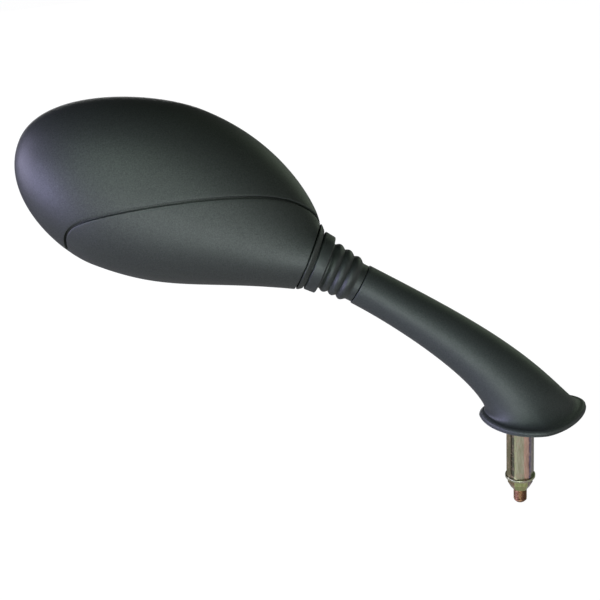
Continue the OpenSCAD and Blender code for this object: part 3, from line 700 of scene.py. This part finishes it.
@lru_cache(maxsize=None)
def arm_rails(s, k):
    """The arm's outer and inner line at s, from shoulder to foot, moved inwards by k."""
    outer = bezier(
        from_arm(SHOULDER, SHOULDER_R - k),
        from_arm(SHOULDER + 49.5, SHOULDER_R - k),
        OUTER_END + Vector((-27.7 - k, 9, 33.7)),
        OUTER_END - Vector((k, 0, 0)),
        s,
    )
    inner = bezier(
        from_arm(SHOULDER, k - SHOULDER_R),
        from_arm(SHOULDER + 33.4, k - SHOULDER_R),
        INNER_END + Vector((k - 3.9, 5, 15.1)),
        INNER_END + Vector((k, 0, 0)),
        s,
    )
    return outer, inner


def arm_ring(s, k):
    outer, inner = arm_rails(s, k)
    middle, r = (outer + inner) / 2, (outer - inner) / 2
    depth = bezier(SHOULDER_R, SHOULDER_R, MID_DEPTH / 2 + 1, END_DEPTH, s) - k
    side = mix(FROM_BALL.to_3x3() @ Vector((0, 0, -1)), Vector((0, 1, 0)), s).normalized()
    return [middle + r * cos(a) + side * depth * sin(a) for a in circle(ARM_SIDES)]


def foot_ring(inset, z):
    """The foot's outline, a turned oval with a blunt point at its front."""
    out = []
    for a in circle(ARM_SIDES):
        c, d = cos(a), sin(a)
        e = FOOT_POINT if c > 0 and d < 0 else 1
        depth = FOOT_FRONT if d < 0 else FOOT_BACK
        p = Vector(((FOOT_R - inset) * signed_pow(c, e), (depth - inset) * signed_pow(d, e), z))
        out.append(FOOT_MID + turn(FOOT_TURN, "Z") @ p)
    return out


@lru_cache(maxsize=None)
def flare_ends(k):
    """Where each line of the flare leaves the arm and meets the foot, and how it does so."""
    top, above = arm_ring(FLARE_FROM, k), arm_ring(FLARE_FROM - 0.02, k)
    foot, middle = foot_ring(LIP_ROUND + k, LIP_H), FOOT_MID + Vector((0, 0, LIP_H))
    ends = []
    for a, higher, b in zip(top, above, foot):
        far = (b - a).length
        down = (a - higher).normalized() * far * FLARE_DOWN
        ends.append((a, a + down, b - (b - middle).normalized() * far * FLARE_OUT, b))
    return ends


def flare_ring(f, k):
    return [bezier(*ends, f) for ends in flare_ends(k)]


def hollow_lines():
    """Lines up the inner wall of the foot, cut at the ceiling."""
    rings = [foot_ring(WALL, 0), foot_ring(WALL, LIP_H / 2)]
    rings += [flare_ring(f / 12, WALL) for f in range(12, 0, -1)]
    rings += [arm_ring(FLARE_FROM * s / 48, WALL) for s in range(48, 24, -1)]
    lines = []
    for j in range(ARM_SIDES):
        line = []
        for ring in rings:
            p = ring[j]
            if p.z >= HOLLOW_H:
                a = line[-1]
                line.append(a.lerp(p, (HOLLOW_H - a.z) / (p.z - a.z)))
                break
            line.append(p)
        lines.append(line)
    return lines


def wall_at(lines, z):
    """The inner wall's outline at height z."""
    out = []
    for line in lines:
        p = line[-1]
        for a, b in zip(line, line[1:]):
            if a.z <= z <= b.z:
                p = a.lerp(b, (z - a.z) / max(1e-9, b.z - a.z))
                break
        out.append(Vector((p.x, p.y)))
    return out


def reach(outline, angle):
    """Distance from the stud's axis to the outline in the given direction."""
    d, best = Vector((cos(angle), sin(angle))), 0.0
    for a, b in zip(outline, outline[1:] + outline[:1]):
        e = b - a
        det = d.x * -e.y + d.y * e.x
        if abs(det) < 1e-9:
            continue
        r = (a.x * -e.y + a.y * e.x) / det
        s = (d.x * a.y - d.y * a.x) / det
        if 0 <= s <= 1 and r > 0:
            best = max(best, r)
    return best


def shoulder_rings():
    """The arm's end face around the spigot, with its rounded edge."""
    rings = []
    for r, x in (
        (SPIGOT_R - 0.2, SHOULDER), ((SPIGOT_R + SHOULDER_R) / 2, SHOULDER),
        (SHOULDER_R - 0.5, SHOULDER), (SHOULDER_R - 0.15, SHOULDER + 0.12),
    ):
        rings.append([from_arm(x, r * cos(a), -r * sin(a)) for a in circle(ARM_SIDES)])
    return rings


def arm_mesh():
    rings = [arm_ring(FLARE_FROM * s / 72, 0) for s in range(73)]
    rings[0] = [p + (from_arm(1, 0) - from_arm(0, 0)) * 0.45 for p in rings[0]]
    rings += [flare_ring(f / 28, 0) for f in range(1, 29)]
    for s, c in quarter(8)[1:]:
        rings.append(foot_ring(mix(LIP_ROUND, BEAD, s), mix(LIP_H, BEAD_H + 0.3, 1 - c)))
    rings += [foot_ring(inset, z) for inset, z in FOOT_EDGE]
    lines = hollow_lines()
    heights = [FOOT_EDGE[-1][1]] + [HOLLOW_H * i / 10 for i in range(1, 11)]
    hollow = [[raised(q, z) for q in wall_at(lines, z)] for z in heights]
    middle = sum(hollow[-1], Vector((0, 0, 0))) / ARM_SIDES
    ceiling = [[p.lerp(middle, 0.97) for p in hollow[-1]]]
    parts = [strip(shoulder_rings() + rings, True), strip([rings[-1]] + hollow + ceiling, True)]
    parts.append(boss_mesh(lines))
    parts += [rib_mesh(lines, radians(60 * k)) for k in range(6)]
    return join_parts(parts)


def boss_mesh(lines):
    """The boss around the stud, kept inside the foot's wall where it leans over it."""
    foot = BOSS_LIFT + 2
    profile = rounded([(BORE_R, BOSS_LIFT), (BOSS_R, BOSS_LIFT), (BOSS_R, foot)], 0.6)
    profile += [Vector((BOSS_R, mix(foot, RIB_TOP, i / 8))) for i in range(1, 9)]
    rings = []
    for r, z in profile:
        wall = wall_at(lines, z)
        rings.append([polar(min(r, reach(wall, a) + RIB_SINK), a, z) for a in circle(72)])
    return strip(rings, True)


def rib_mesh(lines, angle):
    """A rib from the boss to the foot's wall, thinner towards its free edge."""
    side = polar(1, angle + pi / 2, 0)
    heights = [BOSS_LIFT + RIB_EDGE] + [mix(BOSS_LIFT, RIB_TOP, i / 8) for i in range(1, 9)]
    left, right = [], []
    for z in heights:
        half = side * mix(RIB_THIN, RIB_THICK, z / HOLLOW_H)
        far = polar(reach(wall_at(lines, z), angle) + RIB_SINK, angle, z)
        near = polar(BOSS_R - 1, angle, z)
        left.append([near + half, far + half])
        right.append([near - half, far - half])
    inwards, down = side * RIB_EDGE, Vector((0, 0, -RIB_EDGE))
    edge_l = [p + down - inwards for p in left[0]]
    edge_r = [p + down + inwards for p in right[0]]
    return join_parts([strip(left), strip(right), strip([left[0], edge_l, edge_r, right[0]])])


# ---- stud, sleeve, washer and nut ----

STUD_R, THREAD_R, THREAD_PITCH, THREAD_DEPTH = 4.0, 3.6, 1.25, 0.68
SLEEVE_AF, NUT_AF, NUT_TIP_AF, NUT_TAPER = 14.7, 13.0, 9.2, 4.0
NUT_BORE, BORE_WIDE, BORE_CUT, EDGE_CUT = 3.65, 4.2, 0.7, 0.15
WASHER_R, WASHER_CUT = 9.0, 0.3


def stud_mesh():
    """The stud's threaded end below the nut, with its chamfered tip, and its plain rest."""
    turns, rows = 72, 150
    low, high, top = -STUD_DROP, 1.0 - FOOT_UP, 24
    lines = []
    for i in range(rows + 1):
        z, line = mix(low, high, i / rows), []
        for j, a in enumerate(circle(turns)):
            wave = abs(((z / THREAD_PITCH - j / turns) % 1) * 2 - 1)
            r = STUD_R - THREAD_DEPTH * clamp01((wave - 0.08) / 0.8)
            line.append(polar(min(r, STUD_R - THREAD_PITCH + (z - low) * 0.9), a, z))
        lines.append(line)
    tip = [[p.lerp(Vector((0, 0, low)), 0.96) for p in lines[0]]]
    plain = ((THREAD_R, high), (THREAD_R, top - 1), (THREAD_R - 1, top), (0.1, top))
    return strip(tip + lines + [[polar(r, a, z) for a in circle(turns)] for r, z in plain], True)


def hex_reach(apothem, a, corner):
    """Distance from a hexagon's axis to its side in direction a, its edges cut by corner."""
    return min(apothem / cos(a % (pi / 3) - pi / 6), apothem / cos(pi / 6) - corner)


def sleeve_mesh():
    """The long hexagonal sleeve with turned-off ends and a bore."""
    h, cut, slope, corner = SLEEVE_DROP + BOSS_LIFT, 0.8, 0.58, 0.063
    turned = SLEEVE_AF / 2 / cos(pi / 6) - cut

    def facet(a):
        return hex_reach(SLEEVE_AF / 2, a, corner)

    def end(a):
        return min(turned, facet(a))

    def chamfer(a):
        return 0.1 + max(0, facet(a) - turned) * slope

    half = [
        (lambda a: NUT_BORE, lambda a: BORE_CUT),
        (lambda a: NUT_BORE + 0.6, lambda a: 0),
        (lambda a: end(a) - EDGE_CUT, lambda a: 0),
        (end, lambda a: 0.1),
        (facet, chamfer),
    ]
    low = [[polar(r(a), a, z(a)) for a in circle(180)] for r, z in half]
    high = [[polar(r(a), a, h - z(a)) for a in circle(180)] for r, z in reversed(half)]
    return strip(low + high, True)


def nut_mesh():
    """A nut whose facets draw in towards its lower end, which is turned off."""
    tip, full = NUT_TIP_AF / 2, NUT_AF / 2

    def ring(apothem, z, limit=99.0):
        return [polar(min(hex_reach(apothem, a, 0.07), limit), a, z) for a in circle(180)]

    def bore(r, z):
        return [polar(r, a, z) for a in circle(180)]

    lines = [bore(NUT_BORE, BORE_CUT), bore(BORE_WIDE, 0.05), ring(tip - 0.25, 0), ring(tip, 0.15)]
    lines += [ring(mix(tip, full, i / 6), NUT_TAPER * i / 6) for i in range(1, 7)]
    lines += [ring(full, NUT_H - 0.35, 7.4), ring(full, NUT_H - 0.1, 6.95), bore(6.4, NUT_H)]
    lines += [bore(BORE_WIDE, NUT_H), bore(NUT_BORE, NUT_H - BORE_CUT)]
    return strip(lines, True)


def washer_mesh():
    bore, cut, top = BORE_WIDE, WASHER_CUT, WASHER_T
    profile = [
        (bore, cut), (bore + cut, 0), (WASHER_R, 0), (WASHER_R, top), (bore + cut, top),
        (bore, top - cut),
    ]
    return strip([[polar(r, a, z) for a in circle(120)] for r, z in rounded(profile, 0.35)], True)


# ---- materials ----


class Nodes:
    """A small helper around the node tree of a material or a world."""

    def __init__(self, owner):
        owner.use_nodes = True
        self.owner, self.tree = owner, owner.node_tree

    def feed(self, socket, value):
        """Links a socket, or sets its value; a colour comes without its alpha."""
        if isinstance(value, bpy.types.NodeSocket):
            self.tree.links.new(value, socket)
        else:
            socket.default_value = (*value, 1) if socket.type == "RGBA" else value

    def add(self, kind, **settings):
        """A node with its inputs (with a capital) and its other settings."""
        node = self.tree.nodes.new(kind)
        for key, value in settings.items():
            if key[0].isupper():
                self.feed(node.inputs[key.replace("_", " ")], value)
            else:
                setattr(node, key, value)
        return node

    def coords(self):
        return self.add("ShaderNodeTexCoord").outputs["Object"]

    def noise(self, scale, detail=2.0, rough=0.5, distortion=0.0, vector=None):
        return self.add(
            "ShaderNodeTexNoise", Scale=scale, Detail=detail, Roughness=rough,
            Distortion=distortion, Vector=vector or self.coords(),
        ).outputs["Fac"]

    def ramp(self, fac, stops):
        node = self.add("ShaderNodeValToRGB", Fac=fac)
        elements = node.color_ramp.elements
        for i, (at, colour) in enumerate(stops):
            stop = elements[i] if i < 2 else elements.new(at)
            stop.position, stop.color = at, (*colour, 1)
        return node.outputs["Color"]

    def maths(self, kind, a, b):
        node = self.add("ShaderNodeMath", operation=kind)
        self.feed(node.inputs[0], a)
        self.feed(node.inputs[1], b)
        return node.outputs[0]

    def span(self, fac, low, high, start=0.0, end=1.0):
        """fac from start to end becomes low to high."""
        return self.add(
            "ShaderNodeMapRange", Value=fac, From_Min=start, From_Max=end, To_Min=low, To_Max=high
        ).outputs["Result"]

    def bump(self, height, strength, distance, **inputs):
        return self.add(
            "ShaderNodeBump", Height=height, Strength=strength, Distance=distance, **inputs
        ).outputs["Normal"]

    def blend(self, fac, a, b, kind="MIX"):
        node = self.add("ShaderNodeMix", data_type="RGBA", blend_type=kind)
        for socket, value in ((node.inputs[0], fac), (node.inputs[6], a), (node.inputs[7], b)):
            self.feed(socket, value)
        return node.outputs[2]

    def finish(self, **inputs):
        for key, value in inputs.items():
            self.feed(self.tree.nodes["Principled BSDF"].inputs[key.replace("_", " ")], value)
        return self.owner


def surface(name):
    return Nodes(bpy.data.materials.new(name))


def grey(value):
    return (value,) * 3


def moulded(name, colour, rough, grain=0.35):
    """Satin moulded plastic with a fine eroded grain."""
    n = surface(name)
    tone = n.blend(n.noise(30), [c * 0.86 for c in colour], [c * 1.14 for c in colour])
    speck = n.ramp(n.noise(900, 2, 0.6), [(0.0, grey(0.9)), (1.0, grey(1.1))])
    fine = n.bump(n.noise(2600, 3, 0.65), grain, 0.00012)
    return n.finish(
        Base_Color=n.blend(1.0, tone, speck, "MULTIPLY"),
        Roughness=n.span(n.noise(1100, 3, 0.7), rough - 0.12, rough + 0.12),
        Specular_IOR_Level=n.span(n.noise(1250, 2, 0.7), 0.18, 0.82),
        Normal=n.bump(n.noise(950, 3, 0.7), grain * 0.5, 0.0002, Normal=fine),
    )


def rubber(name, colour, rough):
    """Black rubber with a little dust on it."""
    n = surface(name)
    return n.finish(
        Base_Color=n.ramp(n.noise(160, 5, 0.7), [(0.45, colour), (0.8, [c * 1.9 for c in colour])]),
        Roughness=n.span(n.noise(700, 3, 0.6), rough - 0.07, rough + 0.07),
        Normal=n.bump(n.noise(1800, 3, 0.6), 0.3, 0.0001),
    )


def plated(name, colours, rough):
    """Plated steel: fine marks, and patches of the passivation's colours."""
    n = surface(name)
    stops = [(0.25 + 0.5 * i / (len(colours) - 1), c) for i, c in enumerate(colours)]
    return n.finish(
        Base_Color=n.ramp(n.noise(170, 3, 0.55, 0.6), stops),
        Metallic=1.0,
        Roughness=n.span(n.noise(500, 3, 0.6), rough - 0.06, rough + 0.1),
        Normal=n.bump(n.noise(2200, 2, 0.6), 0.25, 0.00006),
    )


def zinc_with_painted_facet_shade(name, colours_and_shade):
    """Yellow zinc whose colour changes from facet to facet, with painted shade and highlights on
    its facets, patches of the passivation's colours and grain along the bar.
    """
    n = surface(name)
    coords = n.coords()
    spread = n.add("ShaderNodeTexGradient", gradient_type="RADIAL", Vector=coords)
    wobble = n.span(n.noise(260, 3, 0.6), -0.012, 0.012)
    # Painted shade and highlights, facet by facet around the axis, over the zinc's own colours
    plain = n.ramp(n.maths("ADD", spread.outputs["Fac"], wobble), colours_and_shade)
    flush = n.ramp(n.noise(330, 3, 0.6, 0.8), [(0.5, grey(0.0)), (0.66, grey(0.5))])
    colour_shade_and_patches = n.blend(flush, plain, (0.62, 0.45, 0.38))
    along = n.add("ShaderNodeMapping", Vector=coords, Scale=(1, 1, 0.06))
    grain = n.noise(2400, 3, 0.7, vector=along.outputs["Vector"])
    worn = n.ramp(grain, [(0.38, grey(0.0)), (0.7, grey(0.75))])
    drawn = n.blend(worn, (1.0, 1.0, 0.96), (0.42, 0.4, 0.28))
    return n.finish(
        Base_Color=n.blend(1.0, colour_shade_and_patches, drawn, "MULTIPLY"),
        Metallic=1.0,
        Roughness=n.span(n.noise(700, 3, 0.6), 0.24, 0.4),
        Normal=n.bump(grain, 0.35, 0.00008),
    )


# Colours around the stud's axis, as shares of a turn from the back (-X) side: partly the zinc's own
# passivation colours, partly painted highlights on the front facets and painted shade on the right
# facets and the dark edges
SLEEVE_ZINC_AND_PAINTED_SHADE = [
    (0.0, (0.28, 0.26, 0.17)),
    (0.085, (0.28, 0.26, 0.17)),
    (0.092, (0.07, 0.05, 0.035)),
    (0.112, (0.08, 0.065, 0.045)),
    (0.118, (0.15, 0.16, 0.125)),
    (0.15, (0.16, 0.17, 0.13)),
    (0.158, (0.7, 0.74, 0.47)),
    (0.18, (0.66, 0.68, 0.45)),
    (0.19, (0.54, 0.52, 0.4)),
    (0.27, (0.5, 0.48, 0.37)),
    (0.285, (0.72, 0.46, 0.39)),
    (0.332, (0.55, 0.35, 0.32)),
    (0.34, (0.19, 0.16, 0.25)),
    (0.39, (0.13, 0.11, 0.15)),
    (0.4, (0.1, 0.09, 0.055)),
    (0.52, (0.12, 0.11, 0.07)),
    (0.6, (0.32, 0.3, 0.2)),
    (1.0, (0.32, 0.3, 0.2)),
]
# Around the nut in the same way: partly the zinc's own colours, partly a painted highlight on the
# green front face and painted shade on the dark right faces
NUT_ZINC_AND_PAINTED_SHADE = [
    (0.0, (0.24, 0.17, 0.1)),
    (0.145, (0.26, 0.18, 0.1)),
    (0.155, (0.44, 0.48, 0.24)),
    (0.335, (0.4, 0.43, 0.2)),
    (0.345, (0.14, 0.12, 0.14)),
    (0.5, (0.12, 0.1, 0.12)),
    (0.6, (0.32, 0.3, 0.2)),
    (1.0, (0.3, 0.26, 0.16)),
]


def mirror(name):
    """Silvered glass: a bright back layer with the faintest waviness and a few dust specks."""
    n = surface(name)
    return n.finish(
        Base_Color=n.blend(n.noise(8, 1), (0.80, 0.84, 0.86), (0.84, 0.87, 0.89)),
        Metallic=1.0,
        Roughness=n.ramp(n.noise(900), [(0.62, grey(0.03)), (0.85, grey(0.12))]),
        Coat_Weight=1.0,
        Coat_Roughness=0.02,
        Normal=n.bump(n.noise(12, 1), 0.02, 0.0005),
    )


def dress(obj, material):
    obj.data.materials.clear()
    obj.data.materials.append(material)


def materials():
    return {
        # The arm's black is painted lighter than the housing's, standing in for the brighter light
        # on the arm
        "arm_plastic": moulded("arm_satin_painted_lighter", (0.019, 0.022, 0.021), 0.51),
        "shell_plastic": moulded("shell_satin", (0.013, 0.015, 0.013), 0.5),
        "cover_plastic": moulded("cover_satin", (0.015, 0.017, 0.015), 0.5),
        "collar_plastic": moulded("collar_satin", (0.013, 0.015, 0.013), 0.5),
        "bezel_plastic": moulded("bezel_satin", (0.013, 0.015, 0.013), 0.48),
        "boot_rubber": rubber("boot_black", (0.013, 0.015, 0.014), 0.5),
        "mirror_glass": mirror("mirror_silver"),
        "pad_rubber": rubber("pad_foam", (0.05, 0.05, 0.05), 0.8),
        "inner_plastic": moulded("inner_black", (0.03, 0.03, 0.031), 0.5),
        "seat_plastic": moulded("seat_natural", (0.72, 0.68, 0.58), 0.4),
        "bright_steel": plated("ground_steel", [(0.5, 0.5, 0.51), (0.62, 0.62, 0.63)], 0.22),
        "clamp_steel": plated("clamp_zinc", [(0.45, 0.46, 0.48), (0.6, 0.6, 0.6)], 0.3),
        "screw_steel": plated("screw_zinc", [(0.42, 0.43, 0.45), (0.58, 0.58, 0.57)], 0.32),
        # The sleeve's and the nut's zinc carry painted shade and painted highlights on their facets
        "zinc_sleeve": zinc_with_painted_facet_shade("sleeve_zinc_painted_facets", SLEEVE_ZINC_AND_PAINTED_SHADE),
        "zinc_washer": plated(
            "washer_zinc", [(0.24, 0.23, 0.14), (0.45, 0.46, 0.32), (0.34, 0.28, 0.24)], 0.3
        ),
        "zinc_nut": zinc_with_painted_facet_shade("nut_zinc_painted_facets", NUT_ZINC_AND_PAINTED_SHADE),
        "copper_steel": plated(
            "stud_copper", [(0.24, 0.12, 0.075), (0.33, 0.185, 0.115), (0.28, 0.19, 0.11)], 0.38
        ),
        "brass": plated("insert_brass", [(0.55, 0.42, 0.18), (0.66, 0.52, 0.26)], 0.3),
    }


# ---- pieces ----


def stand_in(piece, node, slot, mats):
    """The piece takes a node's place, with the slot's material."""
    dress(piece, mats[slot])
    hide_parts(node)


def add_head(mats):
    rows = [
        ("housing_shell", shell_mesh(), 35, "rear_shell", "shell_plastic"),
        ("housing_cover", cover_mesh(), 35, "lower_cover", "cover_plastic"),
        ("housing_frame", bezel_mesh(), 35, "front_bezel", "bezel_plastic"),
        ("neck_ring", collar_mesh(), 40, "neck_collar", "collar_plastic"),
    ]
    for name, (verts, faces), sharp, node, slot in rows:
        piece = make(name, verts, faces, HEAD, sharp)
        stand_in(piece, node, slot, mats)
        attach(piece, "head")


def add_arm(mats):
    under = FOOT @ shift(0, 0, -SLEEVE_DROP)
    washer_place = under @ shift(0, 0, -WASHER_T)
    nut_place = FOOT @ shift(0, 0, -FOOT_UP) @ turn(-7, "Z")
    rows = [
        ("mirror_arm", arm_mesh(), FOOT, 35, "arm", "arm_plastic"),
        ("threaded_stud", stud_mesh(), FOOT, 50, "mounting_stud", "copper_steel"),
        ("long_sleeve", sleeve_mesh(), under @ turn(7, "Z"), 20, "hex_sleeve", "zinc_sleeve"),
        ("plain_washer", washer_mesh(), washer_place, 30, "stud_washer", "zinc_washer"),
        ("lock_nut", nut_mesh(), nut_place, 20, "stud_nut", "zinc_nut"),
    ]
    for name, (verts, faces), place, sharp, node, slot in rows:
        piece = make(name, verts, faces, place, sharp)
        stand_in(piece, node, slot, mats)
        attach(piece, "arm")


def add_glass(mats):
    glass = glass_piece()
    stand_in(glass, "mirror_glass", "mirror_glass", mats)
    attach(glass, "head")


def add_boot(mats):
    """The bellows in three rings, each set in place with the boot's rubber."""
    rings = [
        ("boot_band", "seat", "head", VALLEYS[0], BAND_END + 0.5),
        ("boot_fold", "bellows", "seat", VALLEYS[1], VALLEYS[0]),
        ("boot_cuff", "arm", "bellows", CUFF_END - 2.5, VALLEYS[1]),
    ]
    for (name, a, b, start, end), (verts, faces) in zip(rings, boot_parts()):
        piece = make(name, verts, faces, HEAD, 60)
        stand_in(piece, "neck_boot", "boot_rubber", mats)
        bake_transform(piece)


def dress_inner(mats):
    """The nodes that stay as they are get their finish."""
    slots = {s["node"]: s["material_slot"] for s in frame["record"]["subparts"]}
    for name, obj in frame["nodes"].items():
        if obj.hide_render:
            continue
        for slot in obj.material_slots:
            slot.material = mats[slots[name]]
        if not obj.material_slots:
            obj.data.materials.append(mats[slots[name]])


# ---- floor, light and camera ----

FLOOR_Z, FLOOR_HALF = -0.0096, 6.0
# The floor's own light to the camera, and the camera's share of it against the shadow
FLOOR_GLOW, FLOOR_SHARE = 1.12, 0.85


def seen_and_mirrored(n):
    """Whether a ray comes from the camera, and whether it comes from a reflection."""
    ray = n.add("ShaderNodeLightPath").outputs
    mirrored = n.maths("MAXIMUM", ray["Is Glossy Ray"], ray["Is Transmission Ray"])
    return ray["Is Camera Ray"], mirrored


def floor_white():
    """White with the part's shadow to the camera, and a level that falls off to the rear in
    reflections."""
    n = surface("floor_white")
    n.finish(Base_Color=grey(0.8), Roughness=1.0, Specular_IOR_Level=0.0)
    seen, mirrored = seen_and_mirrored(n)
    rearwards = n.add("ShaderNodeSeparateXYZ", Vector=n.coords()).outputs["Y"]
    near = n.span(rearwards, 0.56, 0.12, -0.05, 0.35)
    reflected = n.maths("ADD", near, n.span(rearwards, 0.0, 0.6, 0.6, 3.0))
    direct = n.maths("MULTIPLY", seen, FLOOR_GLOW)
    strength = n.maths("ADD", direct, n.maths("MULTIPLY", mirrored, reflected))
    glow = n.add("ShaderNodeEmission", Strength=strength)
    join = n.add("ShaderNodeMixShader")
    n.feed(join.inputs[0], n.maths("MAXIMUM", n.maths("MULTIPLY", seen, FLOOR_SHARE), mirrored))
    n.feed(join.inputs[1], n.tree.nodes["Principled BSDF"].outputs[0])
    n.feed(join.inputs[2], glow.outputs[0])
    n.feed(n.tree.nodes["Material Output"].inputs["Surface"], join.outputs[0])
    return n.owner


def add_floor():
    mesh = bpy.data.meshes.new("floor")
    corners = [(-1, -1), (1, -1), (1, 1), (-1, 1)]
    mesh.from_pydata(
        [(x * FLOOR_HALF, y * FLOOR_HALF, FLOOR_Z) for x, y in corners], [], [(0, 1, 2, 3)]
    )
    obj = bpy.data.objects.new("floor", mesh)
    bpy.context.scene.collection.objects.link(obj)
    dress(obj, floor_white())


def area_light(name, place, target, power, colour):
    data = bpy.data.lights.new(name, "AREA")
    data.shape, data.size, data.energy, data.color = "DISK", LAMP_SIZE, power, colour
    obj = bpy.data.objects.new(name, data)
    bpy.context.scene.collection.objects.link(obj)
    obj.location = place
    obj.rotation_euler = (target - place).to_track_quat("-Z", "Y").to_euler()
    obj.visible_camera = False


# Azimuth from the photo's side towards the right, height above the ground, and watts by colour
LAMPS = {
    "left_end": (-100, 8, (8.6, 8.2, 12.4)),
    "left_front": (-65, 8, (6.4, 6.3, 11.0)),
    "low_left": (-62, -6.2, (4.8, 4.7, 8.4)),
    "low_front": (0, -6.2, (14.6, 17.0, 16.4)),
    "upper_front": (-15, 35, (4.9, 6.4, 5.3)),
    "right_rear": (140, 12, (1.1, 1.4, 1.0)),
    "low_rear": (195, -6.2, (3.2, 3.3, 3.2)),
}
LAMP_REACH, LAMP_SIZE, LAMP_TARGET = 1.3, 0.75, Vector((-0.13, 0.0, 0.14))


def add_lights():
    for name, (azimuth, height, watts) in LAMPS.items():
        a, h = radians(azimuth), radians(height)
        way = Vector((sin(a) * cos(h), -cos(a) * cos(h), sin(h)))
        power = max(watts)
        colour = tuple(w / power for w in watts)
        area_light(name, LAMP_TARGET + LAMP_REACH * way, LAMP_TARGET, power, colour)


WORLD_FILL = grey(0.2)


def add_world():
    """White to the camera; reflections meet a pale front, a dim rear and a dark sky."""
    world = bpy.data.worlds.new("studio")
    bpy.context.scene.world = world
    n = Nodes(world)
    seen, mirrored = seen_and_mirrored(n)
    way = n.add("ShaderNodeSeparateXYZ", Vector=n.add("ShaderNodeTexCoord").outputs["Generated"])
    front = n.span(way.outputs["Y"], 1.0, 0.14, -0.25, 0.35)
    level = n.maths("MULTIPLY", front, n.span(way.outputs["Z"], 1.0, 0.06, 0.2, 0.5))
    reflected = n.add("ShaderNodeCombineColor", Red=level, Green=level, Blue=level)
    unseen = n.blend(mirrored, WORLD_FILL, reflected.outputs[0])
    back = n.tree.nodes["Background"].inputs
    n.feed(back["Color"], n.blend(seen, unseen, grey(1.0)))
    n.feed(back["Strength"], 1.0)


# The photo's camera, from the foot's underside: its place, its right and its up
CAMERA_AT = Vector((-125.10, -833.81, 472.55 + FOOT_UP))
CAMERA_RIGHT = Vector((0.99807, -0.02624, -0.05627))
CAMERA_UP = Vector((0.06209, 0.42180, 0.90456))
LENS, SENSOR = 97.44, 36.0


def add_camera():
    data = bpy.data.cameras.new("camera")
    data.sensor_fit, data.sensor_width, data.lens = "HORIZONTAL", SENSOR, LENS
    data.clip_start, data.clip_end = 0.01, 50
    obj = bpy.data.objects.new("camera", data)
    bpy.context.scene.collection.objects.link(obj)
    axes = (CAMERA_RIGHT, CAMERA_UP, CAMERA_RIGHT.cross(CAMERA_UP))
    place = Matrix(axes).transposed().to_4x4()
    place.translation = CAMERA_AT * MM
    obj.matrix_world = place
    bpy.context.scene.camera = obj


mats = materials()
add_head(mats)
add_arm(mats)
add_glass(mats)
add_boot(mats)
dress_inner(mats)
add_floor()
add_lights()
add_world()
add_camera()
bpy.context.scene.view_settings.view_transform = "Standard"
